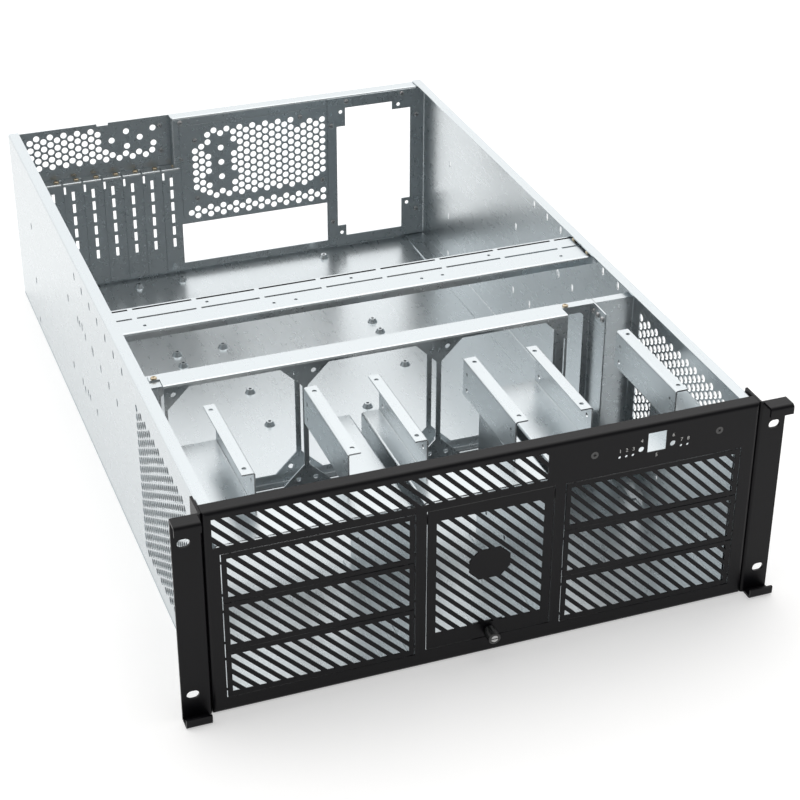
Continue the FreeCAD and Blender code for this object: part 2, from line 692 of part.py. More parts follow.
def build_fan_bracket_left():
    """Upright angle that carries the left end of the fan wall."""
    wall = -WALL_INSIDE
    front, back = size("fan_front") + 3.0, size("fan_front") + size("fan_deep")
    end = size("fan_left") - size("gap")
    top = "Sizes.fan_top - Sizes.steel - 2 * Sizes.steel"
    body = new_body("fan_bracket_left")
    section = new_sketch(body, "XY_Plane", "section", "2 * Sizes.steel")
    draw_fold(section, [(wall, front), (wall, back), (end, back)], STEEL, size("fold"))
    add_pad(body, section, top)
    shelf = new_sketch(body, "XY_Plane", "shelf", "Sizes.fan_top - 2 * Sizes.steel")
    draw_box(shelf, wall, front, end, back)
    add_pad(body, shelf, "Sizes.steel")
    return body


def build_fan_bracket_right():
    """Cable pass beside the fan wall, with a flange towards the front."""
    back = size("fan_front") + size("fan_deep")
    front = back - size("pass_flange")
    start = size("fan_left") + size("fan_count") * size("fan_step") + size("gap")
    end = start + size("pass_width")
    body = new_body("fan_bracket_right")
    section = new_sketch(body, "XY_Plane", "section", "Sizes.steel")
    draw_fold(section, [(start, back), (end, back), (end, front)], STEEL, size("fold"))
    add_pad(body, section, "Sizes.fan_top - 2 * Sizes.steel")
    shelf = new_sketch(body, "XY_Plane", "shelf", "Sizes.fan_top - 2 * Sizes.steel")
    draw_box(shelf, start, back - size("shelf_deep"), end, back)
    add_pad(body, shelf, "Sizes.steel")
    opening = new_sketch(body, "XZ_Plane", "cable_pass")
    low, high = 60.0, size("fan_top") - 12.0
    draw_chamfered(opening, (start + end) / 2, (low + high) / 2, size("pass_width") - 14, high - low, 3.0)
    add_cut(body, opening)
    return body


def build_wall_angle():
    """Upright sheet between the cable pass and the right wall."""
    back = size("fan_front") + size("fan_deep")
    start = (size("fan_left") + size("fan_count") * size("fan_step") + size("pass_width")
             + 2 * size("gap"))
    body = new_body("wall_angle")
    section = new_sketch(body, "XY_Plane", "section", "2 * Sizes.steel")
    draw_fold(section, [(start, back), (WALL_INSIDE, back), (WALL_INSIDE, back - 14.0)], STEEL, size("fold"))
    add_pad(body, section, "Sizes.fan_top - 3 * Sizes.steel")
    shelf = new_sketch(body, "XY_Plane", "shelf", "Sizes.fan_top - 2 * Sizes.steel")
    draw_box(shelf, start, back - size("shelf_deep"), WALL_INSIDE, back)
    add_pad(body, shelf, "Sizes.steel")
    return body


# ------------------------------------------------------------------ front

def draw_broken_slit(sketch, line, start, end, upright):
    """Draw the slit along one edge of a blank, broken by two micro joints.

    An upright slit runs past its corners, so that it meets the level ones.
    """
    half = size("slit") / 2
    joint = size("micro_joint")
    inset = size("joint_inset")
    past = half if upright else 0.0
    for a, b in ((start - past, start + inset), (start + inset + joint, end - inset - joint),
                 (end - inset, end + past)):
        if upright:
            draw_box(sketch, line - half, a, line + half, b)
        else:
            draw_box(sketch, a, line - half, b, line + half)


def round_edges(body, feature, name, radius, wanted):
    """Fillet the edges of a feature whose bounding box is wanted."""
    edges = [f"Edge{n}" for n, e in enumerate(feature.Shape.Edges, start=1) if wanted(e.BoundBox)]
    rounding = body.newObject("PartDesign::Fillet", f"{body.Name}_{name}_rounding")
    rounding.Base = (feature, edges)
    rounding.setExpression("Radius", radius)
    doc.recompute()


def build_front_panel():
    """Front pan with its vents, knock-out blanks, door opening and controls."""
    body = new_body("front_panel")
    outline = new_sketch(body, "XZ_Plane", "outline")
    draw_box(outline, -HALF_WIDTH, 0, HALF_WIDTH, size("panel_height"))
    block = add_pad(body, outline, "Sizes.panel_return", back=True)
    round_edges(body, block, "outer", "Sizes.panel_corner",
                lambda box: box.YMax < 1e-3)
    hollow = new_sketch(body, "XZ_Plane", "hollow", "-Sizes.steel")
    draw_box(hollow, STEEL - HALF_WIDTH, STEEL, HALF_WIDTH - STEEL, size("panel_height") - STEEL)
    emptied = add_cut(body, hollow, "Sizes.panel_return")
    round_edges(body, emptied, "inner", "Sizes.panel_corner - Sizes.steel",
                lambda box: abs(box.YMin - STEEL) < 1e-3 and box.YMax < STEEL + 1e-3)
    cut_panel_vents(body)
    cut_panel_controls(body)
    add_hinge_lugs(body)
    return body


def cut_panel_vents(body):
    """Cut the vent strip, the blanks and the door opening of the front panel."""
    strip = new_sketch(body, "XZ_Plane", "strip")
    left, low = -size("strip_left"), size("strip_base")
    draw_louvres(strip, left, low, left + size("strip_length"), low + size("strip_height"))
    add_cut(body, strip)
    margin = size("bay_margin")
    half = size("bay_width") / 2
    base = size("bay_base")
    top = base + size("bay_height")
    roof = base + size("bay_count") * size("bay_height")
    for name, middle in (("left", size("left_bay_x")), ("right", size("right_bay_x"))):
        left, right = middle - half, middle + half
        vents = new_sketch(body, "XZ_Plane", f"{name}_bay_vents")
        draw_louvres(vents, left + margin, base + margin, right - margin, top - margin)
        draw_broken_slit(vents, base, left, right, upright=False)
        repeat(body, add_cut(body, vents), vents, "V_Axis", size("bay_height"), int(size("bay_count")))
        uprights = new_sketch(body, "XZ_Plane", f"{name}_bay_uprights")
        for x in (left, right):
            draw_broken_slit(uprights, x, base, top, upright=True)
        repeat(body, add_cut(body, uprights), uprights, "V_Axis", size("bay_height"), int(size("bay_count")))
        last = new_sketch(body, "XZ_Plane", f"{name}_bay_roof")
        draw_broken_slit(last, roof, left, right, upright=False)
        add_cut(body, last)
    door = new_sketch(body, "XZ_Plane", "door_opening")
    gap = size("door_gap")
    half = size("door_width") / 2 + gap
    low, high = size("door_base") - gap, size("door_base") + size("door_height") + gap
    draw_box(door, size("door_x") - half, low, size("door_x") + half, high)
    add_cut(body, door)


def cut_panel_controls(body):
    """Cut the holes of lamps, buttons and the port, and sink two screws."""
    holes = new_sketch(body, "XZ_Plane", "controls")
    for first, count in ((size("lan_lamp_x"), 3), (size("state_lamp_x"), 2)):
        for i in range(count):
            draw_regular(holes, first + i * size("lamp_step"), size("lamp_height"), size("lamp_radius"), 8)
    for x in (size("reset_x"), size("power_x")):
        draw_circle(holes, x, size("button_height"), size("button_radius"))
    half = size("port_width") / 2
    draw_box(holes, size("port_x") - half, size("port_base"), size("port_x") + half,
             size("port_base") + size("port_height"))
    add_cut(body, holes)


def pivot_height():
    """Return the height of the door's hinge line."""
    return size("door_base") + size("door_height") - size("pivot_drop")


def draw_ear(sketch, face, hole):
    """Draw a hinge ear in the YZ plane: a tab from a face to a round end."""
    radius = size("pivot_ear")
    y, z = size("pivot_depth"), pivot_height()
    draw(sketch, [
        Part.LineSegment(point(y, z - radius), point(face, z - radius)),
        Part.LineSegment(point(face, z - radius), point(face, z + radius)),
        Part.LineSegment(point(face, z + radius), point(y, z + radius)),
        Part.Arc(point(y, z + radius), point(y + radius, z), point(y, z - radius))])
    draw_circle(sketch, y, z, hole)


def add_hinge_lugs(body):
    """Add the two lugs beside the door opening that hold the hinge pins."""
    for name, expression in (("lug_left", "Sizes.door_x - Sizes.door_width / 2 - Sizes.door_gap"
                                          " - Sizes.steel"),
                             ("lug_right", "Sizes.door_x + Sizes.door_width / 2 + Sizes.door_gap")):
        lug = new_sketch(body, "YZ_Plane", name, expression)
        draw_ear(lug, STEEL / 2, size("pin_radius"))
        add_pad(body, lug, "Sizes.steel")


def build_door():
    """Vented door with a solid badge patch, hinge ears and the screw's hole."""
    body = new_body("front_door")
    outline = new_sketch(body, "XZ_Plane", "outline")
    x, half = size("door_x"), size("door_width") / 2
    low, high = size("door_base"), size("door_base") + size("door_height")
    draw_box(outline, x - half, low, x + half, high)
    add_pad(body, outline, "Sizes.steel", back=True)
    vents = new_sketch(body, "XZ_Plane", "vents")
    middle = (low + high) / 2 + size("badge_rise")
    width, height, cut = size("badge_width") / 2, size("badge_height") / 2, size("badge_cut")
    patch = [(-width + cut, -height), (width - cut, -height), (width, -height + cut), (width, height - cut),
             (width - cut, height), (-width + cut, height), (-width, height - cut), (-width, -height + cut)]
    corners = [point(x + u, middle + v) for u, v in patch]
    badge = Part.Face(Part.makePolygon(corners + corners[:1]))
    draw_louvres(vents, x - half + size("door_side"), low + size("door_foot"),
                 x + half - size("door_side"), high - size("door_top"), badge)
    add_cut(body, vents)
    bore = new_sketch(body, "XZ_Plane", "screw_hole")
    draw_circle(bore, x, low + size("screw_lift"), size("shank_radius") + size("pin_clearance"))
    add_cut(body, bore)
    for name, expression in (("ear_left", "Sizes.door_x - Sizes.door_width / 2"),
                             ("ear_right", "Sizes.door_x + Sizes.door_width / 2 - Sizes.steel")):
        tab = new_sketch(body, "YZ_Plane", name, expression)
        draw_ear(tab, STEEL / 2, size("pin_radius") + size("pin_clearance"))
        add_pad(body, tab, "Sizes.steel")
    return body


def build_pin(label, side):
    """Hinge pin, pressed into a lug of the panel."""
    body = new_body(label)
    edge = "Sizes.door_x + Sizes.door_width / 2 - 2 * Sizes.steel"
    if side < 0:
        edge = "Sizes.door_x - Sizes.door_width / 2 - Sizes.door_gap - 2 * Sizes.steel"
    section = new_sketch(body, "YZ_Plane", "section", edge)
    draw_circle(section, size("pivot_depth"), pivot_height(), size("pin_radius"))
    add_pad(body, section, "4 * Sizes.steel + Sizes.door_gap")
    return body


def build_catch():
    """Strip behind the door's foot that the thumbscrew is screwed into."""
    body = new_body("door_catch")
    x = size("door_x")
    screw = size("door_base") + size("screw_lift")
    half = size("catch_width") / 2
    outline = new_sketch(body, "XZ_Plane", "outline", "-Sizes.steel - Sizes.gap")
    draw_box(outline, x - half, size("panel_corner"), x + half, screw + size("catch_top"))
    add_pad(body, outline, "Sizes.steel", back=True)
    bore = new_sketch(body, "XZ_Plane", "bore")
    draw_circle(bore, x, screw, size("shank_radius") + 0.8)
    add_cut(body, bore)
    return body


def build_thumbscrew():
    """Captive thumbscrew: knob, collar and shank in one turned piece."""
    body = new_body("thumbscrew")
    x, z = size("door_x"), size("door_base") + size("screw_lift")
    profile = new_sketch(body, "XY_Plane", "profile", "Sizes.door_base + Sizes.screw_lift")
    knob, shank = size("knob_radius"), size("shank_radius")
    front, seat, back = -size("knob_reach"), -size("gap") / 3, size("shank_reach")
    outline = [(x, front), (x + knob - 0.8, front), (x + knob, front + 0.8), (x + knob, seat - 2.5),
               (x + knob - 1.2, seat), (x + shank, seat), (x + shank, back - 0.6),
               (x + shank - 0.6, back), (x, back)]
    profile.addGeometry(polygon_lines(outline), False)
    turned = body.newObject("PartDesign::Revolution", "thumbscrew_turned")
    turned.Profile = profile
    turned.ReferenceAxis = (profile, ["Edge9"])
    turned.Angle = 360
    doc.recompute()
    return body


def build_ear(label, side):
    """Rack ear: an angle on the wall with curled grip flanges and rack holes."""
    wall = side * (HALF_WIDTH + size("gap"))
    outer = side * size("rack_width") / 2
    face, thick = size("ear_face"), size("ear_steel")
    path = [(outer, face), (wall, face), (wall, size("ear_side"))]
    if side < 0:
        path.reverse()
    body = folded_piece(label, "XY_Plane", path, "Sizes.panel_height", thickness=thick)
    top, lip, curl = size("panel_height"), -size("ear_lip"), size("ear_curl")
    span = size("rack_width") / 2 - HALF_WIDTH - size("gap") - thick - 1.0
    start = f"{'' if side > 0 else '-'}Sizes.rack_width / 2" + (f" - {span}" if side > 0 else "")
    for name, grip in (("top_grip", [(lip, top - curl), (lip, top), (face + thick, top)]),
                       ("low_grip", [(face + thick, 0), (lip, 0), (lip, curl)])):
        section = new_sketch(body, "YZ_Plane", name, start)
        draw_fold(section, grip, thick, size("fold"))
        add_pad(body, section, f"{span}")
    holes = new_sketch(body, "XZ_Plane", "rack_holes")
    for i in range(2):
        z = size("ear_hole_low") + i * size("ear_hole_step")
        draw_slot(holes, side * size("ear_hole_x"), z, size("ear_slot_length"), size("ear_slot_width"))
    add_cut(body, holes, "Sizes.ear_side / 2")
    return body


def draw_slot(sketch, u, v, length, width):
    """Draw a slot with round ends along the first axis."""
    radius = width / 2
    reach = length / 2 - radius
    draw(sketch, [
        Part.LineSegment(point(u - reach, v + radius), point(u + reach, v + radius)),
        Part.Arc(point(u + reach, v + radius), point(u + reach + radius, v), point(u + reach, v - radius)),
        Part.LineSegment(point(u + reach, v - radius), point(u - reach, v - radius)),
        Part.Arc(point(u - reach, v - radius), point(u - reach - radius, v), point(u - reach, v + radius)),
    ])


# ------------------------------------------------------------------- main

def build_all():
    """Build every sub-part."""
    build_floor()
    build_wall("left_wall", -1)
    build_wall("right_wall", 1)
    build_rear_panel()
    build_rear_bracket()
    for number in range(1, int(size("card_count")) + 1):
        build_slot_cover(number)
    build_screen()
    build_supply_plate()
    build_brace()
    build_fan_wall()
    build_fan_bracket_left()
    build_fan_bracket_right()
    build_wall_angle()
    build_cage("left_cage", "cage_left_x", "cage_wide", size("pocket_left_x"))
    build_cage("centre_cage", "cage_centre_x", "cage_narrow", size("cage_centre_x"))
    build_cage("right_cage", "cage_right_x", "cage_wide", size("pocket_right_x"))
    build_front_panel()
    build_door()
    build_pin("hinge_pin_left", -1)
    build_pin("hinge_pin_right", 1)
    build_catch()
    build_thumbscrew()
    build_ear("left_ear", -1)
    build_ear("right_ear", 1)


def check_model():
    """Stop if any object failed or any sub-part is not one valid solid."""
    for item in doc.Objects:
        if "Invalid" in item.State or "Error" in item.State:
            raise ValueError(f"{item.Name}: {item.State}")
    for body in bodies:
        shape = body.Shape
        if shape.isNull() or not shape.isValid() or len(shape.Solids) != 1:
            raise ValueError(f"{body.Label}: {len(shape.Solids)} solids, valid {shape.isValid()}")


def export_parts():
    """Write each sub-part to its STEP file."""
    os.makedirs("parts", exist_ok=True)
    for body in bodies:
        body.Shape.exportStep(f"parts/{body.Label}.step")


build_all()
doc.recompute()
check_model()
export_parts()
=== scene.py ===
"""Looks of an empty four-unit rackmount server case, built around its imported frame.

Lengths in the sub-assemblies are millimetres and become metres as a mesh is placed.
X runs to the right seen from the front, Z up, and a depth is counted from the front
face of the front panel towards the back.
"""

import logging
import math
from dataclasses import dataclass, field
from enum import Enum
from typing import Iterable, Sequence

import bmesh
import bpy
from bmesh.types import BMesh, BMFace, BMVert
from bpy.types import Material, Mesh, Node, NodeSocket, NodeTree, Object
from mathutils import Euler, Matrix, Vector


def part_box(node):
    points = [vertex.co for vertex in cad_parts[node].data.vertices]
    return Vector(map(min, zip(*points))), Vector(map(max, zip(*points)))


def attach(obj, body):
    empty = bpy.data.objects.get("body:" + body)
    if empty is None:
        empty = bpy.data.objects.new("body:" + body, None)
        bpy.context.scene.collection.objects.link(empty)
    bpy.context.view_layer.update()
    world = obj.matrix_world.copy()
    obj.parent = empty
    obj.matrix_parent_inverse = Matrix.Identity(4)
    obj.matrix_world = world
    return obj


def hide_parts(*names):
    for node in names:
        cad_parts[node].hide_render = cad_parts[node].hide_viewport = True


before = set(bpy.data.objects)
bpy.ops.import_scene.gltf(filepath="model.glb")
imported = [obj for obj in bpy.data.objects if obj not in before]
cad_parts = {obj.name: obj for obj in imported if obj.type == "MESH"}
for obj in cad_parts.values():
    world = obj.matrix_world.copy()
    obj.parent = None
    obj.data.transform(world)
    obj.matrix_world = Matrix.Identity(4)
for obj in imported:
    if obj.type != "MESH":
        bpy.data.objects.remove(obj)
log = logging.getLogger("case")

MM = 0.001
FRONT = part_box("front_panel")[0].y / MM
CARD_SLOTS = range(1, 8)
UP = (0.0, 0.0, 1.0)
TO_FRONT = (0.0, -1.0, 0.0)
TO_LEFT = (-1.0, 0.0, 0.0)

Point2 = tuple[float, float]
Point3 = tuple[float, float, float]
Loop = list[Point2]
Hole = Point3
Spot = tuple[Point3, Point3]


def lower(node: str) -> Vector:
    """Return a node's lowest corner in millimetres, y counted as a depth."""
    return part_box(node)[0] / MM - Vector((0, FRONT, 0))


def upper(node: str) -> Vector:
    """Return a node's highest corner in millimetres, y counted as a depth."""
    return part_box(node)[1] / MM - Vector((0, FRONT, 0))


class Plane(Enum):
    """Planes that flat work is drawn in, and the way its thickness goes."""

    SIDE = "first axis to the back, second up, thickness towards +X"
    REAR = "first axis along X, second up, thickness towards the front"
    LEVEL = "first axis along X, second to the back, thickness up"

    def matrix(self, offset: float) -> Matrix:
        """Return the placement of a drawing.

        Args:
            offset: where the drawing plane lies on its normal, in millimetres.

        Returns:
            A matrix from drawing millimetres to metres in the frame.
        """
        first, second, normal, origin = {
            Plane.SIDE: ((0, 1, 0), (0, 0, 1), (1, 0, 0), (offset, FRONT, 0)),
            Plane.REAR: ((1, 0, 0), (0, 0, 1), (0, -1, 0), (0, FRONT + offset, 0)),
            Plane.LEVEL: ((1, 0, 0), (0, 1, 0), (0, 0, 1), (0, FRONT, offset)),
        }[self]
        turn = Matrix((first, second, normal)).transposed().to_4x4()
        return Matrix.Scale(MM, 4) @ Matrix.Translation(origin) @ turn


# ------------------------------------------------------------------ node trees


class NodeGraph:
    """A node tree, put together by short calls."""

    def __init__(self, tree: NodeTree) -> None:
        """Keep the tree that nodes are added to."""
        self.tree = tree

    def node(self, kind: str, inputs: dict[str | int, object] | None = None, **settings: object
             ) -> Node:
        """Add a node.

        Args:
            kind: type of the node.
            inputs: what each input gets, by its name or number: a socket or a value.
            settings: properties of the node.

        Returns:
            The node.
        """
        node = self.tree.nodes.new(kind)
        for name, value in settings.items():
            setattr(node, name, value)
        for key, value in (inputs or {}).items():
            self.feed(node.inputs[key], value)
        return node

    def feed(self, end: NodeSocket, value: object) -> None:
        """Link a socket to an input, or set the input's value."""
        if isinstance(value, NodeSocket):
            self.tree.links.new(value, end)
        else:
            end.default_value = value

    def math(self, operation: str, *values: object) -> NodeSocket:
        """Return the result of a sum on sockets and numbers."""
        node = self.node("ShaderNodeMath", dict(enumerate(values)), operation=operation)
        return node.outputs["Value"]

    def spread(self, value: NodeSocket, to: Point2, of: Point2 = (0.0, 1.0), curve: str = "LINEAR"
               ) -> NodeSocket:
        """Return a value moved from one span to another.

        Args:
            value: the socket to read.
            to: what the ends of the span become.
            of: the span that is read.
            curve: interpolation between the ends.

        Returns:
            The socket of the moved value.
        """
        inputs = {"Value": value, "From Min": of[0], "From Max": of[1], "To Min": to[0],
                  "To Max": to[1]}
        node = self.node("ShaderNodeMapRange", inputs, interpolation_type=curve)
        return node.outputs["Result"]


class SurfaceGraph(NodeGraph):
    """Nodes of a material with a Principled shader."""

    def __init__(self, name: str) -> None:
        """Start a material."""
        self.material = bpy.data.materials.new(name)
        self.material.use_nodes = True
        super().__init__(self.material.node_tree)
        self.surface = self.tree.nodes["Principled BSDF"]

    def dress(self, inputs: dict[str, object]) -> None:
        """Feed the shader's inputs."""
        for name, value in inputs.items():
            self.feed(self.surface.inputs[name], value)

    def coordinates(self, stretch: Sequence[float] = (1, 1, 1)) -> NodeSocket:
        """Return object coordinates, stretched along the axes."""
        source = self.node("ShaderNodeTexCoord").outputs["Object"]
        mapping = self.node("ShaderNodeMapping", {"Vector": source, "Scale": stretch})
        return mapping.outputs["Vector"]

    def noise(self, scale: float, detail: float = 2.0, stretch: Sequence[float] = (1, 1, 1)
              ) -> NodeSocket:
        """Return the value of a noise on object coordinates.

        Args:
            scale: cells per metre.
            detail: octaves.
            stretch: scale of each axis before the noise.

        Returns:
            The noise's value socket.
        """
        inputs = {"Vector": self.coordinates(stretch), "Scale": scale, "Detail": detail}
        return self.node("ShaderNodeTexNoise", inputs).outputs["Fac"]

    def crystals(self, scale: float) -> NodeSocket:
        """Return a random grey for each crystal of a cell pattern."""
        cells = self.node("ShaderNodeTexVoronoi", {"Vector": self.coordinates(), "Scale": scale})
        return self.node("ShaderNodeRGBToBW", {"Color": cells.outputs["Color"]}).outputs["Val"]

    def bump(self, scale: float, strength: float, depth: float) -> None:
        """Let a fine noise disturb the surface's normal."""
        inputs = {"Height": self.noise(scale), "Strength": strength, "Distance": depth}
        self.dress({"Normal": self.node("ShaderNodeBump", inputs).outputs["Normal"]})


# ------------------------------------------------------------------ finishes


@dataclass(frozen=True)
class ZincSheet:
    """Zinc coated sheet whose gloss shows faint crystals and rolling marks.

    Attributes:
        crystals: crystals per metre.
        crystal_gloss: how much a crystal changes the roughness.
        gloss: least and most roughness over the rolling marks.
        rolling: rolling marks per metre, before they are stretched along the axes.
        ripples: scale, strength and depth of the ripples.
    """

    name: str = "zinc_sheet"
    colour: Point3 = (0.61, 0.65, 0.67)
    crystals: float = 170.0
    crystal_gloss: float = 0.015
    gloss: Point2 = (0.25, 0.32)
    rolling: float = 40.0
    rolling_stretch: Point3 = (8.0, 0.6, 8.0)
    ripples: Point3 = (320.0, 0.015, 0.0003)

    def build(self) -> Material:
        """Return the material."""
        graph = SurfaceGraph(self.name)
        least, most = self.gloss
        base = graph.spread(graph.crystals(self.crystals),
                            (least - self.crystal_gloss, least + self.crystal_gloss))
        rolled = graph.noise(self.rolling, stretch=self.rolling_stretch)
        graph.dress({"Base Color": (*self.colour, 1), "Metallic": 1.0,
                     "Roughness": graph.math("MULTIPLY_ADD", rolled, most - least, base)})
        graph.bump(*self.ripples)
        return graph.material


@dataclass(frozen=True)
class Coating:
    """A finish of one colour with duller patches and, where it has one, a grain.

    Attributes:
        gloss: least and most roughness.
        patches: scale and octaves of the patches.
        grain: scale, strength and depth of the grain.
        metallic: one for bare metal.
        shine: level of the shader's reflection.
    """

    name: str
    colour: Point3
    gloss: Point2
    patches: Point2
    grain: Point3 | None = None
    metallic: float = 0.0
    shine: float = 0.5

    def build(self) -> Material:
        """Return the material."""
        graph = SurfaceGraph(self.name)
        graph.dress({"Base Color": (*self.colour, 1), "Metallic": self.metallic,
                     "Specular IOR Level": self.shine,
                     "Roughness": graph.spread(graph.noise(*self.patches), self.gloss)})
        if self.grain:
            graph.bump(*self.grain)
        return graph.material


@dataclass(frozen=True)
class PlatedSteel(Coating):
    """Turned steel with a thin plating and fine tool marks."""

    gloss: Point2 = (0.2, 0.36)
    patches: Point2 = (420.0, 3.0)
    grain: Point3 = (1800.0, 0.08, 0.0001)
    metallic: float = 1.0


class Finishes:
    """The materials of the case."""

    def __init__(self) -> None:
        """Build each finish once."""
        self.zinc = ZincSheet().build()
        self.black = Coating("powder_coat", (0.0036, 0.0034, 0.0046), (0.32, 0.42), (14.0, 4.0),
                             (2600.0, 0.22, 0.0002), shine=0.19).build()
        self.yellow = PlatedSteel("yellow_zinc", (0.50, 0.42, 0.30)).build()
        self.steel = PlatedSteel("bright_steel", (0.52, 0.52, 0.52)).build()
        self.burnished = PlatedSteel("burnished_steel", (0.085, 0.085, 0.085), (0.28, 0.42)).build()
        self.ink = Coating("white_print", (0.612, 0.612, 0.595), (0.6, 0.75), (1500.0, 2.0)).build()


# --------------------------------------------------------- geometry node trees


class GeometryTree(NodeGraph):
    """A Geometry Nodes tree with named inputs."""

    def __init__(self, name: str) -> None:
        """Start a tree from geometry to geometry."""
        super().__init__(bpy.data.node_groups.new(name, "GeometryNodeTree"))
        for way in ("INPUT", "OUTPUT"):
            self.tree.interface.new_socket(name="Geometry", in_out=way,
                                           socket_type="NodeSocketGeometry")
        self.source = self.node("NodeGroupInput")
        self.identifiers: dict[str, str] = {}

    def add_input(self, name: str, kind: str) -> NodeSocket:
        """Add a named input and return its socket inside the tree."""
        item = self.tree.interface.new_socket(name=name, in_out="INPUT", socket_type=kind)
        self.identifiers[name] = item.identifier
        return self.source.outputs[name]

    def attribute(self, name: str, kind: str) -> NodeSocket:
        """Return the socket of a named attribute."""
        reader = self.node("GeometryNodeInputNamedAttribute", {"Name": name}, data_type=kind)
        return reader.outputs["Attribute"]

    def join(self, *parts: NodeSocket) -> NodeSocket:
        """Return several geometries as one."""
        node = self.node("GeometryNodeJoinGeometry")
        for part in parts:
            self.feed(node.inputs["Geometry"], part)
        return node.outputs["Geometry"]

    def finish(self, geometry: NodeSocket) -> None:
        """End the tree: instances are made real and get the material input."""
        real = self.node("GeometryNodeRealizeInstances", {"Geometry": geometry})
        paint = self.node("GeometryNodeSetMaterial", {
            "Geometry": real.outputs["Geometry"],
            "Material": self.add_input("Material", "NodeSocketMaterial")})
        self.node("NodeGroupOutput", {"Geometry": paint.outputs["Geometry"]})

    def run(self, start: Mesh, values: dict[str, object]) -> Mesh:
        """Run the tree on a mesh.

        Args:
            start: the mesh to start from, which is deleted.
            values: the named inputs.

        Returns:
            The result as a plain mesh.
        """
        carrier = bpy.data.objects.new("carrier", start)
        bpy.context.scene.collection.objects.link(carrier)
        modifier = carrier.modifiers.new(self.tree.name, "NODES")
        modifier.node_group = self.tree
        for name, value in values.items():
            modifier[self.identifiers[name]] = value
        bpy.context.view_layer.update()
        depsgraph = bpy.context.evaluated_depsgraph_get()
        mesh = bpy.data.meshes.new_from_object(carrier.evaluated_get(depsgraph))
        carrier.modifiers.remove(modifier)
        bpy.data.objects.remove(carrier)
        bpy.data.meshes.remove(start)
        return mesh


class PunchTree(GeometryTree):
    """Fills flat outlines, leaves round holes out and gives the sheet its thickness."""

    WELD = 0.001

    def __init__(self) -> None:
        """Build the tree."""
        super().__init__("punched_sheet")
        thickness = self.add_input("Thickness", "NodeSocketFloat")
        corners = self.add_input("Hole corners", "NodeSocketInt")
        split = self.node("GeometryNodeSeparateGeometry", {
            "Geometry": self.source.outputs["Geometry"],
            "Selection": self.attribute("hole", "BOOLEAN")}, domain="POINT")
        circle = self.node("GeometryNodeCurvePrimitiveCircle",
                           {"Resolution": corners, "Radius": 1.0})
        holes = self.node("GeometryNodeInstanceOnPoints", {
            "Points": split.outputs["Selection"], "Instance": circle.outputs["Curve"],
            "Scale": self.attribute("radius", "FLOAT")})
        real = self.node("GeometryNodeRealizeInstances", {"Geometry": holes.outputs["Instances"]})
        outlines = self.node("GeometryNodeMeshToCurve", {"Mesh": split.outputs["Inverted"]})
        curves = self.join(real.outputs["Geometry"], outlines.outputs["Curve"])
        flat = self.node("GeometryNodeFillCurve", {"Curve": curves}).outputs["Mesh"]
        raised = self.node("GeometryNodeExtrudeMesh", {
            "Mesh": flat, "Offset": (0, 0, 1), "Offset Scale": thickness, "Individual": False},
            mode="FACES")
        base = self.node("GeometryNodeFlipFaces", {"Mesh": flat})
        both = self.join(raised.outputs["Mesh"], base.outputs["Mesh"])
        weld = self.node("GeometryNodeMergeByDistance", {"Geometry": both, "Distance": self.WELD})
        self.finish(weld.outputs["Geometry"])


class FastenerTree(GeometryTree):
    """Puts a head on each point, turned as the point's attribute says."""

    def __init__(self) -> None:
        """Build the tree."""
        super().__init__("fasteners")
        head = self.add_input("Head", "NodeSocketObject")
        scale = self.add_input("Head scale", "NodeSocketFloat")
        info = self.node("GeometryNodeObjectInfo", {"Object": head})
        turn = self.node("FunctionNodeEulerToRotation",
                         {"Euler": self.attribute("turn", "FLOAT_VECTOR")})
        heads = self.node("GeometryNodeInstanceOnPoints", {
            "Points": self.source.outputs["Geometry"], "Instance": info.outputs["Geometry"],
            "Rotation": turn.outputs["Rotation"], "Scale": scale})
        self.finish(heads.outputs["Instances"])


def set_attribute(mesh: Mesh, name: str, kind: str, values: Iterable[object]) -> None:
    """Give a mesh's points a named attribute."""
    attribute = mesh.attributes.new(name, kind, "POINT")
    key = "vector" if kind == "FLOAT_VECTOR" else "value"
    for item, value in zip(attribute.data, values):
        setattr(item, key, value)


# ------------------------------------------------------------------ flat work


def box_loop(left: float, low: float, right: float, high: float) -> Loop:
    """Return a rectangle as a loop."""
    return [(left, low), (right, low), (right, high), (left, high)]


def slot_loop(u: float, v: float, width: float, height: float, steps: int = 6) -> Loop:
    """Return an upright slot with round ends.

    Args:
        u: middle of the slot across.
        v: middle of the slot upwards.
        width: of the slot.
        height: of the slot.
        steps: straight pieces of a round end.

    Returns:
        The slot's edge.
    """
    radius = width / 2
    reach = height / 2 - radius
    loop = []
    for end, start in ((1, 0.0), (-1, math.pi)):
        for k in range(steps + 1):
            angle = start + math.pi * k / steps
            loop.append((u + radius * math.cos(angle), v + end * reach + radius * math.sin(angle)))
    return loop


@dataclass
class HexField:
    """Close-packed holes in upright columns.

    Attributes:
        left: middle of the first column.
        base: middle of the lowest hole of an even column.
        rows: how many holes in an even column.
        step: from hole to hole in a column.
    """

    left: float
    base: float
    columns: int
    rows: int
    step: float = 8.0
    column_step: float = 6.85
    radius: float = 3.2

    def centre(self, column: int, row: int) -> Point2:
        """Return the middle of a hole; odd columns lie half a step higher."""
        rise = self.step / 2 if column % 2 else 0.0
        return self.left + column * self.column_step, self.base + row * self.step + rise

    def hole(self, column: int, row: int) -> Hole:
        """Return a hole as its middle and radius."""
        return (*self.centre(column, row), self.radius)

    def holes(self) -> list[Hole]:
        """Return every hole of the field."""
        return [self.hole(c, r) for c in range(self.columns) for r in range(self.rows)]


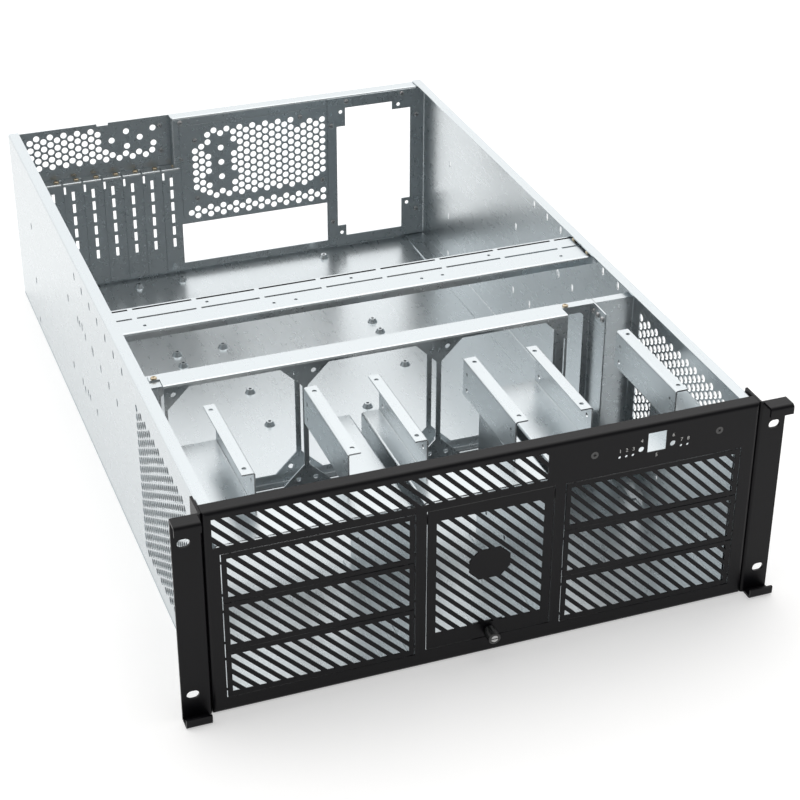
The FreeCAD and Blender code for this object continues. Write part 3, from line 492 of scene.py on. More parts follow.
def fold_outline(path: Sequence[Point2], thickness: float, radius: float = 0.8, steps: int = 4
                 ) -> Loop:
    """Return the section of a folded sheet.

    Args:
        path: corners of the left-hand surface as it is walked; the steel is on its right.
        thickness: of the sheet.
        radius: inside radius of a fold.
        steps: straight pieces of an arc.

    Returns:
        The closed section.
    """
    points = [Vector(p) for p in path]
    ways = [(b - a).normalized() for a, b in zip(points, points[1:])]
    rights = [Vector((w.y, -w.x)) for w in ways]
    sides: list[Loop] = []
    for left_side, shift in ((True, 0.0), (False, thickness)):
        side = [tuple(points[0] + rights[0] * shift)]
        for i in range(1, len(points) - 1):
            before, after = rights[i - 1], rights[i]
            corner = points[i] + (before + after) * (shift / (1 + before.dot(after)))
            turn = ways[i - 1].x * ways[i].y - ways[i - 1].y * ways[i].x
            bend = radius if (turn > 0) == left_side else radius + thickness
            angle = ways[i - 1].angle(ways[i])
            start = corner - ways[i - 1] * (bend * math.tan(angle / 2))
            centre = start - before * math.copysign(bend, turn)
            for k in range(steps + 1):
                spoke = Matrix.Rotation(math.copysign(angle, turn) * k / steps, 2)
                side.append(tuple(centre + spoke @ (start - centre)))
        side.append(tuple(points[-1] + rights[-1] * shift))
        sides.append(side)
    return sides[0] + sides[1][::-1]


def bridge_rings(mesh: BMesh, first: list[BMVert],
                 second: list[BMVert]) -> list[BMFace]:
    """Return new faces between two closed rings; a ring of one point is a pole."""
    count = max(len(first), len(second))
    faces = []
    for k in range(count):
        after = (k + 1) % count
        corners = (first[k % len(first)], first[after % len(first)],
                   second[after % len(second)], second[k % len(second)])
        faces.append(mesh.faces.new(list(dict.fromkeys(corners))))
    return faces


def add_prism(mesh: BMesh, section: Loop, start: float, end: float, plane: Plane
              ) -> None:
    """Add a section drawn out from one offset of its plane to another.

    Args:
        mesh: the mesh that gets the prism.
        section: the closed section.
        start: offset of the first end.
        end: offset of the second end.
        plane: the plane of the section.
    """
    rings = [[mesh.verts.new(plane.matrix(offset) @ Vector((u, v, 0))) for u, v in section]
             for offset in (start, end)]
    ends = [mesh.faces.new(rings[0]), mesh.faces.new(rings[1][::-1])]
    bmesh.ops.recalc_face_normals(mesh, faces=[*ends, *bridge_rings(mesh, *rings)])


class Workshop:
    """Shared trees and finishes, and the calls that put a finished piece in place."""

    HOLE_CORNERS = 12

    def __init__(self) -> None:
        """Build the finishes and the trees."""
        self.finishes = Finishes()
        self.punch_tree = PunchTree()
        self.fastener_tree = FastenerTree()

    def sheet(self, loops: list[Loop], holes: list[Hole], thickness: float, plane: Matrix
              ) -> Mesh:
        """Make a flat zinc sheet with holes.

        Args:
            loops: the outline and any cut-outs.
            holes: round holes as middle and radius.
            thickness: of the sheet.
            plane: placement of the drawing.

        Returns:
            The sheet as a mesh in metres.
        """
        points: list[Point3] = []
        edges: list[tuple[int, int]] = []
        for loop in loops:
            first = len(points)
            points += [(u, v, 0.0) for u, v in loop]
            edges += [(first + k, first + (k + 1) % len(loop)) for k in range(len(loop))]
        drawn = len(points)
        points += [(u, v, 0.0) for u, v, _ in holes]
        drawing = bpy.data.meshes.new("drawing")
        drawing.from_pydata(points, edges, [])
        set_attribute(drawing, "hole", "BOOLEAN", [k >= drawn for k in range(len(points))])
        set_attribute(drawing, "radius", "FLOAT", [1.0] * drawn + [r for _, _, r in holes])
        sheet = self.punch_tree.run(drawing, {
            "Thickness": thickness, "Hole corners": self.HOLE_CORNERS,
            "Material": self.finishes.zinc})
        sheet.transform(plane)
        return sheet

    def make(self, name: str, working: BMesh, material: Material) -> Object:
        """Make an object of one finish.

        Args:
            name: name of the piece.
            working: its closed bodies, which are freed.
            material: finish of the piece.

        Returns:
            The object, not yet riding on a body.
        """
        mesh = bpy.data.meshes.new(name)
        working.to_mesh(mesh)
        working.free()
        mesh.materials.clear()
        mesh.materials.append(material)
        mesh.polygons.foreach_set("material_index", [0] * len(mesh.polygons))
        return self.place(name, mesh)

    def finish_sheet(self, name: str, node: str, sheet: Mesh, edges: BMesh | None = None) -> None:
        """Make a zinc piece of the case from a sheet and its folds.

        Args:
            name: name of the piece.
            node: the CAD node that it stands for.
            sheet: flat mesh, which is deleted.
            edges: folds, which are freed.
        """
        working = edges or bmesh.new()
        working.from_mesh(sheet)
        bpy.data.meshes.remove(sheet)
        piece = self.make(name, working, self.finishes.zinc)
        self.settle(piece, "case", "zinc_steel", node)

    def place(self, name: str, mesh: Mesh) -> Object:
        """Link a mesh as an object at the origin."""
        piece = bpy.data.objects.new(name, mesh)
        bpy.context.scene.collection.objects.link(piece)
        return piece

    def settle(self, piece: Object, body: str, slot: str, *stands_for: str) -> None:
        """Let a piece ride on a body and stand for CAD nodes."""
        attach(piece, body)
        if stands_for:
            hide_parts(*stands_for)
        log.info("%s: %d faces on %s", piece.name, len(piece.data.polygons), body)


# --------------------------------------------------------------- sub-assemblies


@dataclass
class SheetWork:
    """Sizes shared by what is folded from the case's sheet.

    Attributes:
        steel: thickness of the sheet.
        bend: width that a folded edge takes.
    """

    steel: float = 1.2
    bend: float = 4.0

    def fold(self, edges: BMesh, path: Loop, start: float, end: float, plane: Plane = Plane.SIDE
             ) -> None:
        """Add an edge folded along a path and drawn out from one offset to another."""
        add_prism(edges, fold_outline(path, self.steel), start, end, plane)


@dataclass(frozen=True)
class SlotRow:
    """Equal upright slots at one height of a side wall."""

    height: float
    first: float
    step: float = 0.0
    count: int = 1


@dataclass
class SideWalls(SheetWork):
    """Both side walls, with their real vent fields.

    Attributes:
        rim: flange along the top.
        long_foot: flange on the floor behind the cages.
        short_foot: flange on the floor beside the cages.
        foot_step: depth where the foot gets wider.
    """

    rim: float = 10.0
    long_foot: float = 22.0
    short_foot: float = 8.0
    foot_step: float = 150.3
    vents: HexField = field(default_factory=lambda: HexField(52.0, 20.0, 22, 17, radius=3.25))
    slots: tuple[SlotRow, ...] = (
        SlotRow(160.0, 242.0, 29.7, 7), SlotRow(115.5, 271.0, 29.8, 5),
        SlotRow(117.0, 363.0, 49.8, 2), SlotRow(119.5, 402.0, 58.0, 2), SlotRow(117.0, 420.8),
        SlotRow(54.0, 364.0, 28.0, 2), SlotRow(54.0, 400.0, 21.7, 2),
        SlotRow(50.7, 412.5, 48.5, 2), SlotRow(114.0, 631.0), SlotRow(54.7, 633.0),
        SlotRow(11.0, 632.5))
    slot_size: Point2 = (3.8, 7.4)

    def build(self, shop: Workshop) -> None:
        """Build both walls."""
        for name, side in (("left_wall", -1), ("right_wall", 1)):
            self.build_wall(shop, name, side)

    def build_wall(self, shop: Workshop, name: str, side: int) -> None:
        """Build one wall.

        Args:
            shop: trees and finishes.
            name: the CAD node that the wall stands for.
            side: 1 on the right and -1 on the left.
        """
        low, high = lower(name), upper(name)
        outer = high.x if side > 0 else low.x
        outline = box_loop(low.y, low.z + self.bend, high.y, high.z - self.bend)
        cuts = [slot_loop(row.first + row.step * k, row.height, *self.slot_size)
                for row in self.slots for k in range(row.count)]
        plane = Plane.SIDE.matrix(outer - self.steel if side > 0 else outer)
        wall = shop.sheet([outline, *cuts], self.vents.holes(), self.steel, plane)
        edges = bmesh.new()
        rim = [(outer - side * self.rim, high.z), (outer, high.z), (outer, high.z - self.bend)]
        self.add_edge(edges, rim, side, low.y, high.y)
        for reach, start, end in ((self.short_foot, low.y, self.foot_step),
                                  (self.long_foot, self.foot_step, high.y)):
            foot = [(outer, low.z + self.bend), (outer, low.z), (outer - side * reach, low.z)]
            self.add_edge(edges, foot, side, start, end)
        shop.finish_sheet(f"{name}_vented", name, wall, edges)

    def add_edge(self, mesh: BMesh, path: Loop, side: int, start: float, end: float
                 ) -> None:
        """Add a folded edge that runs from one depth to another."""
        walked = path if side > 0 else path[::-1]
        self.fold(mesh, walked, start, end, Plane.REAR)


@dataclass
class FanScreen(SheetWork):
    """Vented plate over the rear fan opening.

    Attributes:
        vents: holes of the plate, before what stays solid is left out.
        strip_top: height under which the holes are the strip below the fan.
        fan_base: height over which the holes are the fan's, up to fan_top.
        core: half width and half height of what stays solid round the knock-outs.
        shoulder: the same beside the core, shoulder_rise from its middle.
        bare_columns: columns without a hole over bare_base.
        overlap: how far the plate reaches over the panel on its right.
    """

    vents: HexField = field(default_factory=lambda: HexField(-40.6, 67.4, 22, 12))
    strip_top: float = 72.0
    fan_base: float = 83.0
    fan_top: float = 157.0
    knockout_x: float = -6.45
    knockout_heights: Point3 = (103.6, 119.6, 135.5)
    core: Point2 = (8.0, 30.0)
    shoulder: Point2 = (15.0, 1.5)
    shoulder_rise: float = 16.0
    bare_columns: tuple[int, int] = (2, 20)
    bare_base: float = 150.0
    screws: tuple[Point2, ...] = ((-33.4, 147.0), (-33.4, 83.0), (79.3, 157.1), (102.4, 83.3))
    screw_clear: float = 9.9
    overlap: float = 1.8

    def is_open(self, column: int, u: float, v: float) -> bool:
        """Return whether a hole of the field is punched.

        Args:
            column: the hole's column.
            u: the hole's x.
            v: the hole's z.

        Returns:
            True in the strip, and under the fan where nothing has to stay solid.
        """
        if v < self.strip_top:
            return True
        if not self.fan_base < v < self.fan_top or column == 0:
            return False
        across, up = abs(u - self.knockout_x), abs(v - self.knockout_heights[1])
        in_core = across < self.core[0] and up < self.core[1]
        beside = across < self.shoulder[0] and abs(up - self.shoulder_rise) < self.shoulder[1]
        bare = column in self.bare_columns and v > self.bare_base
        screwed = any(math.hypot(u - x, v - z) < self.screw_clear for x, z in self.screws)
        return not (in_core or beside or bare or screwed)

    def holes(self) -> list[Hole]:
        """Return the punched holes and the knock-outs."""
        grid = self.vents
        holes = [(self.knockout_x, z, grid.radius) for z in self.knockout_heights]
        for column in range(grid.columns):
            for row in range(grid.rows):
                u, v = grid.centre(column, row - column % 2)
                if self.is_open(column, u, v):
                    holes.append((u, v, grid.radius))
        return holes

    def build(self, shop: Workshop) -> None:
        """Build the plate."""
        low, high = lower("rear_screen"), upper("rear_screen")
        outline = box_loop(low.x, low.z, high.x + self.overlap, high.z)
        sheet = shop.sheet([outline], self.holes(), self.steel, Plane.REAR.matrix(high.y))
        shop.finish_sheet("rear_screen_vented", "rear_screen", sheet)


@dataclass
class RearBracket(SheetWork):
    """Ledge over the card slots, with the vented sheet that rises behind it.

    Attributes:
        tail: columns of the zigzag row that carries on to the right.
        last_hole: hole over the end of that row.
        notch: left and right end of the notch in the top edge.
    """

    vents: HexField = field(default_factory=lambda: HexField(-198.2, 138.0, 11, 4))
    tail: int = 8
    knockouts: tuple[Point2, ...] = ((-115.9, 153.7), (-100.6, 161.7), (-100.6, 145.8),
                                     (-86.9, 153.8), (-73.1, 161.8))
    last_hole: Point2 = (-73.1, 145.6)
    notch: Point2 = (-130.0, -118.5)
    notch_deep: float = 2.4
    gap: float = 0.3

    def holes(self) -> list[Hole]:
        """Return the holes: a full field, a zigzag row and the knock-outs."""
        grid = self.vents
        holes = [(*spot, grid.radius) for spot in self.knockouts]
        for column in range(grid.columns + self.tail):
            odd = column % 2
            rows = grid.rows + odd
            if column >= grid.columns:
                rows = 2 if column == grid.columns else 1
            holes += [grid.hole(column, row - odd) for row in range(rows)]
        return [*holes, (*self.last_hole, grid.radius)]

    def build(self, shop: Workshop) -> None:
        """Build the bracket."""
        low, high = lower("rear_bracket"), upper("rear_bracket")
        left, right = self.notch
        notch_floor = high.z - self.notch_deep
        outline = [(low.x, low.z + self.bend), (high.x, low.z + self.bend), (high.x, high.z),
                   (right, high.z), (right, notch_floor), (left, notch_floor), (left, high.z),
                   (low.x, high.z)]
        sheet = shop.sheet([outline], self.holes(), self.steel, Plane.REAR.matrix(high.y))
        inside, top = high.y - self.steel, low.z + self.steel
        edges = bmesh.new()
        ledge = [(low.y, top), (inside, top), (inside, low.z + self.bend)]
        self.fold(edges, ledge, low.x, high.x)
        cheek = box_loop(low.y + self.steel + self.gap, top + self.steel + self.gap, inside, high.z)
        add_prism(edges, cheek, high.x - self.steel, high.x, Plane.SIDE)
        shop.finish_sheet("rear_bracket_vented", "rear_bracket", sheet, edges)


@dataclass
class RearPanel(SheetWork):
    """Rear panel round the bracket and the fan screen.

    Attributes:
        port: left, low, right and high end of the port opening.
        fan: left, low and high end of the opening behind the fan screen.
        fan_past: how far that opening reaches past the CAD's screen.
        plate_seat: left, low, right and high seat of the supply plate.
        card_top: steel left over a card opening.
    """

    gap: float = 0.3
    port: tuple[float, float, float, float] = (-50.7, 11.0, 107.7, 55.45)
    fan: Point3 = (-44.4, 59.4, 162.0)
    fan_past: float = 0.6
    plate_seat: tuple[float, float, float, float] = (8.0, 6.0, 6.0, 7.0)
    card_base: float = 14.0
    card_width: float = 15.0
    card_top: float = 0.6

    def cuts(self, ledge: float) -> list[Loop]:
        """Return the openings under a ledge's height."""
        plate_low, plate_high = lower("supply_plate"), upper("supply_plate")
        left, low, right, high = self.plate_seat
        fan_left, fan_low, fan_high = self.fan
        cuts = [box_loop(plate_low.x + left, plate_low.z + low, plate_high.x - right,
                         plate_high.z - high),
                box_loop(*self.port),
                box_loop(fan_left, fan_low, upper("rear_screen").x + self.fan_past, fan_high)]
        for number in CARD_SLOTS:
            start = lower(f"slot_cover_{number}").x + self.gap
            cuts.append(box_loop(start, self.card_base, start + self.card_width,
                                 ledge - self.card_top))
        return cuts

    def build(self, shop: Workshop) -> None:
        """Build the panel."""
        low, high = lower("rear_panel"), upper("rear_panel")
        step = upper("rear_bracket").x
        ledge = lower("rear_bracket").z
        cover = upper("slot_cover_7")
        over, notch = cover.z + self.gap, cover.x + self.gap
        outline = [(low.x, low.z + self.bend), (high.x, low.z + self.bend),
                   (high.x, high.z - self.bend), (step, high.z - self.bend), (step, over),
                   (notch, over), (notch, ledge), (low.x, ledge)]
        sheet = shop.sheet([outline, *self.cuts(ledge)], [], self.steel,
                           Plane.REAR.matrix(low.y + self.steel))
        edges = bmesh.new()
        foot = [(high.y, low.z), (low.y, low.z), (low.y, low.z + self.bend)]
        self.fold(edges, foot, low.x, high.x)
        roof = [(low.y, high.z - self.bend), (low.y, high.z), (high.y, high.z)]
        self.fold(edges, roof, step, high.x)
        shop.finish_sheet("rear_panel_sheet", "rear_panel", sheet, edges)


@dataclass
class CrossBrace(SheetWork):
    """The brace across the case, with two broken lines of slots.

    Attributes:
        lines: depths of the slot lines.
        end_margin: steel left at a line's ends.
        middle: x that the bridges are counted from.
        holes: screw holes as x and depth.
    """

    front_drop: float = 7.0
    lines: Point2 = (304.8, 321.4)
    slot_width: float = 2.4
    end_margin: float = 2.0
    bridges: int = 8
    bridge_step: float = 54.6
    bridge: float = 4.2
    middle: float = -0.8
    holes: tuple[Point2, ...] = (
        (-186.8, 290.6), (-76.2, 292.2), (-57.1, 292.2), (55.5, 292.2), (74.6, 292.2),
        (185.2, 290.6), (-0.8, 313.6), (-128.0, 313.6), (126.4, 313.6))
    hole_radius: float = 1.5

    def slots(self, left: float, right: float) -> list[Loop]:
        """Return the slots between two ends."""
        bridges = [self.middle + self.bridge_step * (k - (self.bridges - 1) / 2)
                   for k in range(self.bridges)]
        starts = [left, *(b + self.bridge / 2 for b in bridges)]
        ends = [*(b - self.bridge / 2 for b in bridges), right]
        half = self.slot_width / 2
        return [box_loop(start, line - half, end, line + half)
                for line in self.lines for start, end in zip(starts, ends)]

    def build(self, shop: Workshop) -> None:
        """Build the brace."""
        low, high = lower("cross_brace"), upper("cross_brace")
        outline = box_loop(low.x, low.y + self.bend, high.x, high.y - self.bend)
        slots = self.slots(low.x + self.end_margin, high.x - self.end_margin)
        holes = [(x, depth, self.hole_radius) for x, depth in self.holes]
        top = shop.sheet([outline, *slots], holes, self.steel,
                         Plane.LEVEL.matrix(high.z - self.steel))
        front = [(low.y, high.z - self.front_drop), (low.y, high.z), (low.y + self.bend, high.z)]
        back = [(high.y - self.bend, high.z), (high.y, high.z), (high.y, low.z)]
        edges = bmesh.new()
        for path in (front, back):
            self.fold(edges, path, low.x, high.x)
        shop.finish_sheet("cross_brace_slotted", "cross_brace", top, edges)


class HeadKind(Enum):
    """Kinds of fastener heads."""

    PAN = "pan head with a cross recess"
    SUNK = "countersunk head with a cross recess"
    RIVET = "domed rivet"

    def profile(self) -> Loop:
        """Return a head's outline from its rim to its top, for a radius of one."""
        if self is HeadKind.RIVET:
            angles = [math.radians(degrees) for degrees in range(0, 90, 15)]
            return [(math.cos(a), 0.5 * math.sin(a)) for a in angles]
        if self is HeadKind.SUNK:
            return [(1.0, 0.0), (0.97, 0.04), (0.8, 0.06)]
        return [(1.0, 0.0), (1.0, 0.22), (0.93, 0.4), (0.78, 0.52), (0.6, 0.58)]


@dataclass
class Heads:
    """A group of like fastener heads.

    Attributes:
        spots: each head's place, with its y as a depth, and its outward direction.
        arm: reach of the recess, and arm_half half its width, for a radius of one.
        taper: what the recess keeps of its size at its floor.
        spin: turn from one head to the next, in radians.
    """

    name: str
    kind: HeadKind
    radius: float
    spots: list[Spot]
    corners: int = 20
    arm: float = 0.46
    arm_half: float = 0.11
    recess: float = 0.32
    taper: float = 0.7
    spin: float = 0.9

    def head(self) -> Mesh:
        """Return a head of radius one that stands on the level plane."""
        mesh = bmesh.new()
        angles = [2 * math.pi * k / self.corners for k in range(self.corners)]
        rings = [[mesh.verts.new((reach * math.cos(a), reach * math.sin(a), height))
                  for a in angles] for reach, height in self.kind.profile()]
        for outer, inner in zip(rings, rings[1:]):
            bridge_rings(mesh, outer, inner)
        if self.kind is HeadKind.RIVET:
            mesh.faces.new(rings[-1])
        else:
            self.cut_recess(mesh, rings[-1])
        mesh.faces.new(rings[0][::-1])
        bmesh.ops.recalc_face_normals(mesh, faces=mesh.faces)
        result = bpy.data.meshes.new(self.name)
        mesh.to_mesh(result)
        mesh.free()
        return result

    def cut_recess(self, mesh: BMesh, rim: list[BMVert]) -> None:
        """Close a head's top round a cross recess."""
        top, arm, half = rim[0].co.z, self.arm, self.arm_half
        cross = [(half, half), (half, arm), (-half, arm), (-half, half), (-arm, half),
                 (-arm, -half), (-half, -half), (-half, -arm), (half, -arm), (half, -half),
                 (arm, -half), (arm, half)]
        mouth = [mesh.verts.new((u, v, top)) for u, v in cross]
        floor = [mesh.verts.new((self.taper * u, self.taper * v, top - self.recess))
                 for u, v in cross]
        bridge_rings(mesh, mouth, floor)
        mesh.faces.new(floor)
        border = [mesh.edges.get((ring[k], ring[(k + 1) % len(ring)]))
                  for ring in (mouth, rim) for k in range(len(ring))]
        bmesh.ops.triangle_fill(mesh, edges=border, use_beauty=True)

    def build(self, shop: Workshop, material: Material) -> None:
        """Place the heads.

        Args:
            shop: trees and finishes.
            material: finish of the heads.
        """
        pattern = bpy.data.objects.new(f"{self.name}_pattern", self.head())
        mesh = bpy.data.meshes.new("spots")
        places = [(x * MM, (depth + FRONT) * MM, z * MM) for (x, depth, z), _ in self.spots]
        mesh.from_pydata(places, [], [])
        turns = []
        for number, (_, way) in enumerate(self.spots):
            spin = Euler((0, 0, self.spin * number)).to_quaternion()
            turns.append(tuple((Vector(way).to_track_quat("Z", "Y") @ spin).to_euler()))
        set_attribute(mesh, "turn", "FLOAT_VECTOR", turns)
        heads = shop.fastener_tree.run(
            mesh, {"Head": pattern, "Head scale": self.radius * MM, "Material": material})
        bpy.data.objects.remove(pattern)
        shop.settle(shop.place(self.name, heads), "case", "fitting_steel")


@dataclass
class Fasteners(SheetWork):
    """Screws and rivets of the case.

    Attributes:
        cover_right: a slot cover's screw to the right of its middle.
        cover_inset: the same screw before the cover's rear edge.
        wall_screws: screws of the fan wall as x and depth.
        brace_spread: a brace screw from the brace's middle line.
        pass_start: first screw behind the front edge of the cable pass.
    """

    small: float = 2.6
    large: float = 2.9
    sunk: float = 3.1
    cover_right: float = 5.4
    cover_inset: float = 4.6
    plate_screws: tuple[Point2, ...] = ((129.8, 167.3), (191.4, 167.9), (113.2, 142.3),
                                        (208.0, 142.7), (113.5, 32.4), (208.2, 33.6))
    bracket_screws: tuple[Point2, ...] = ((-66.1, 163.0), (-65.9, 135.8))
    rivets: tuple[Point2, ...] = ((-47.6, 167.5), (-47.6, 128.0))
    wall_screws: tuple[Point2, ...] = ((-201.5, 203.0), (149.2, 203.5))
    brace_inset: float = 6.0
    brace_spread: float = 14.0
    pass_start: float = 5.0
    pass_step: float = 8.5
    pass_screws: int = 3
    pass_drop: float = 7.0
    front_x: Point2 = (80.7, 184.5)
    front_z: float = 159.8

    def build(self, shop: Workshop) -> None:
        """Build every group of fasteners."""
        finishes = shop.finishes
        pan, small = HeadKind.PAN, self.small
        Heads("slot_cover_screws", pan, self.large, self.on_covers()).build(shop, finishes.yellow)
        Heads("rear_screws", pan, small, self.on_rear()).build(shop, finishes.steel)
        Heads("deck_screws", pan, small, self.on_deck()).build(shop, finishes.yellow)
        Heads("pass_screws", pan, small, self.on_pass()).build(shop, finishes.steel)
        rivets = self.on_face(self.rivets, lower("rear_panel").y)
        Heads("rear_rivets", HeadKind.RIVET, self.large, rivets).build(shop, finishes.steel)
        front = self.on_face([(x, self.front_z) for x in self.front_x], 0.0)
        Heads("front_screws", HeadKind.SUNK, self.sunk, front).build(shop, finishes.burnished)

    def on_face(self, places: Iterable[Point2], depth: float) -> list[Spot]:
        """Return spots on an upright face that looks to the front."""
        return [((x, depth, z), TO_FRONT) for x, z in places]

    def on_covers(self) -> list[Spot]:
        """Return spots on the tabs of the slot covers."""
        spots = []
        for number in CARD_SLOTS:
            low, high = lower(f"slot_cover_{number}"), upper(f"slot_cover_{number}")
            x = (low.x + high.x) / 2 + self.cover_right
            spots.append(((x, high.y - self.cover_inset, high.z), UP))
        return spots

    def on_rear(self) -> list[Spot]:
        """Return spots on the fan screen, the supply plate and the bracket."""
        on_panel = self.on_face((*FanScreen().screws, *self.plate_screws), lower("rear_screen").y)
        bracket = upper("rear_bracket").y - self.steel
        return [*on_panel, *self.on_face(self.bracket_screws, bracket)]

    def on_deck(self) -> list[Spot]:
        """Return spots on top of the fan wall and the cross brace."""
        spots = [((x, depth, upper("fan_wall").z), UP) for x, depth in self.wall_screws]
        brace = upper("cross_brace")
        middle = (lower("cross_brace").y + brace.y) / 2
        for side in (-1, 1):
            for depth in (middle + self.brace_spread, middle - self.brace_spread):
                spots.append(((side * (brace.x - self.brace_inset), depth, brace.z), UP))
        return spots

    def on_pass(self) -> list[Spot]:
        """Return spots along the top of the cable pass's flange."""
        low, high = lower("fan_bracket_right"), upper("fan_bracket_right")
        depths = [low.y + self.pass_start + self.pass_step * k for k in range(self.pass_screws)]
        face, z = high.x - self.steel, high.z - self.pass_drop
        return [((face, depth, z), TO_LEFT) for depth in depths]


@dataclass
class Thumbscrew:
    """Knurled thumbscrew with a slotted bright tip.

    Attributes:
        teeth: knurls round the knob, each as deep as groove.
        knob_end: depth where the knurls end.
        neck_end: depth where the knob's cone meets the shank.
        cone: how much narrower the knob gets there.
        pocket_rim: widening of the tip's pocket at its mouth.
        tip_sunk: the tip behind the knob's front.
        tip_steps: straight pieces round half of the tip.
    """

    teeth: int = 30
    groove: float = 0.35
    chamfer: float = 0.8
    knob_end: float = -2.6
    neck_end: float = -0.1
    cone: float = 1.2
    shank: float = 1.9
    point: float = 1.3
    point_length: float = 0.6
    tip: float = 2.8
    tip_gap: float = 0.1
    pocket_rim: float = 0.2
    pocket: float = 0.7
    tip_sunk: float = 0.2
    slot_width: float = 0.9
    tip_steps: int = 12

    def build(self, shop: Workshop) -> None:
        """Build the knob with its shank, and the tip."""
        low, high = lower("thumbscrew"), upper("thumbscrew")
        middle = (low + high) / 2
        radius = (high.x - low.x) / 2
        mouth = self.tip + self.tip_gap
        profile = [
            (0.0, low.y + self.pocket), (mouth, low.y + self.pocket),
            (mouth + self.pocket_rim, low.y), (radius - self.chamfer, low.y),
            (radius, low.y + self.chamfer), (radius, self.knob_end),
            (radius - self.cone, self.neck_end), (self.shank, self.neck_end),
            (self.shank, high.y - self.point_length), (self.point, high.y), (0.0, high.y)]
        knob = self.turned(profile, radius, middle)
        tip = self.slotted_tip(low.y + self.tip_sunk, low.y + self.pocket, middle)
        for name, mesh, finish, nodes in (
                ("thumbscrew_knob", knob, shop.finishes.burnished, ["thumbscrew"]),
                ("thumbscrew_tip", tip, shop.finishes.steel, [])):
            bmesh.ops.recalc_face_normals(mesh, faces=mesh.faces)
            shop.settle(shop.make(name, mesh, finish), "screw", "fitting_steel", *nodes)

    def turned(self, profile: list[Point2], knurled: float, middle: Vector) -> BMesh:
        """Return a turned body about a line along the depth.

        Args:
            profile: radius and depth of each ring, from one pole to the other.
            knurled: the radius whose rings get knurls.
            middle: a point on the line.

        Returns:
            The closed body.
        """
        mesh = bmesh.new()
        count = 2 * self.teeth
        rings: list[list[BMVert]] = []
        for radius, depth in profile:
            cut = self.groove if radius == knurled else 0.0
            corners = range(count if radius else 1)
            rings.append([self.spot(mesh, middle, radius - cut * (k % 2),
                                    2 * math.pi * k / count, depth) for k in corners])
        for before, after in zip(rings, rings[1:]):
            bridge_rings(mesh, before, after)
        return mesh

    def spot(self, mesh: BMesh, middle: Vector, reach: float, angle: float,
             depth: float) -> BMVert:
        """Add a point round the screw's line."""
        x = middle.x + reach * math.cos(angle)
        z = middle.z + reach * math.sin(angle)
        return mesh.verts.new(Vector((x, FRONT + depth, z)) * MM)

    def slotted_tip(self, front: float, back: float, middle: Vector) -> BMesh:
        """Return the tip as two halves of a disc on either side of the slot."""
        mesh = bmesh.new()
        start = math.asin(self.slot_width / 2 / self.tip)
        step = (math.pi - 2 * start) / self.tip_steps
        for side in (0.0, math.pi):
            angles = [side + start + step * k for k in range(self.tip_steps + 1)]
            rings = [[self.spot(mesh, middle, self.tip, a, depth) for a in angles]
                     for depth in (front, back)]
            mesh.faces.new(rings[0])
            mesh.faces.new(rings[1][::-1])
            bridge_rings(mesh, *rings)
        return mesh


@dataclass
class FrontMarks:
    """Plain numbers beside the controls of the front panel.

    Attributes:
        relief: thickness of the print.
        marks: each figure with the x and z of its middle.
    """

    height: float = 4.2
    relief: float = 0.04
    weld: float = 0.001
    marks: tuple[tuple[str, float, float], ...] = (
        ("1", 101.7, 158.6), ("2", 107.1, 158.6), ("3", 112.6, 158.6), ("4", 119.3, 164.0),
        ("5", 132.2, 149.4), ("6", 145.5, 164.0), ("7", 152.7, 158.6), ("8", 158.2, 158.6))

    def build(self, shop: Workshop) -> None:
        """Print the numbers."""
        prints = bmesh.new()
        for text, x, z in self.marks:
            figure = self.figure(text)
            figure.transform(Plane.REAR.matrix(0.0) @ Matrix.Translation((x, z, 0.0)))
            prints.from_mesh(figure)
            bpy.data.meshes.remove(figure)
        bmesh.ops.remove_doubles(prints, verts=prints.verts, dist=self.weld * MM)
        piece = shop.make("front_numbers", prints, shop.finishes.ink)
        shop.settle(piece, "case", "black_paint")

    def figure(self, text: str) -> Mesh:
        """Return a figure as a mesh round the origin."""
        curve = bpy.data.curves.new("figure", "FONT")
        curve.body = text
        curve.align_x = curve.align_y = "CENTER"
        curve.size = self.height
        curve.extrude = self.relief
        carrier = bpy.data.objects.new("figure", curve)
        bpy.context.scene.collection.objects.link(carrier)
        bpy.context.view_layer.update()
        mesh = bpy.data.meshes.new_from_object(carrier)
        bpy.data.objects.remove(carrier)
        bpy.data.curves.remove(curve)
        return mesh


@dataclass
class CarriedNodes:
    """CAD nodes that keep their shape and get a finish; what isn't named is zinc.

    Attributes:
        black: powder coated nodes.
        bright: nodes of bright steel.
    """

    black: tuple[str, ...] = ("front_panel", "front_door", "left_ear", "right_ear")
    bright: tuple[str, ...] = ("hinge_pin_left", "hinge_pin_right")

    def build(self, shop: Workshop) -> None:
        """Give each CAD node its material."""
        finishes = shop.finishes
        chosen = {name: finishes.black for name in self.black}
        chosen |= {name: finishes.steel for name in self.bright}
        for name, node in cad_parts.items():
            node.data.materials.clear()
            node.data.materials.append(chosen.get(name, finishes.zinc))
        log.info("finishes on %d nodes", len(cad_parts))


# ------------------------------------------------------------------- the studio


@dataclass(frozen=True)
class Lamp:
    """A large soft lamp that looks at the case.

    Attributes:
        place: in metres, as is the side of its square.
        power: in watts.
    """

    name: str
    place: Point3
    size: float
    power: float


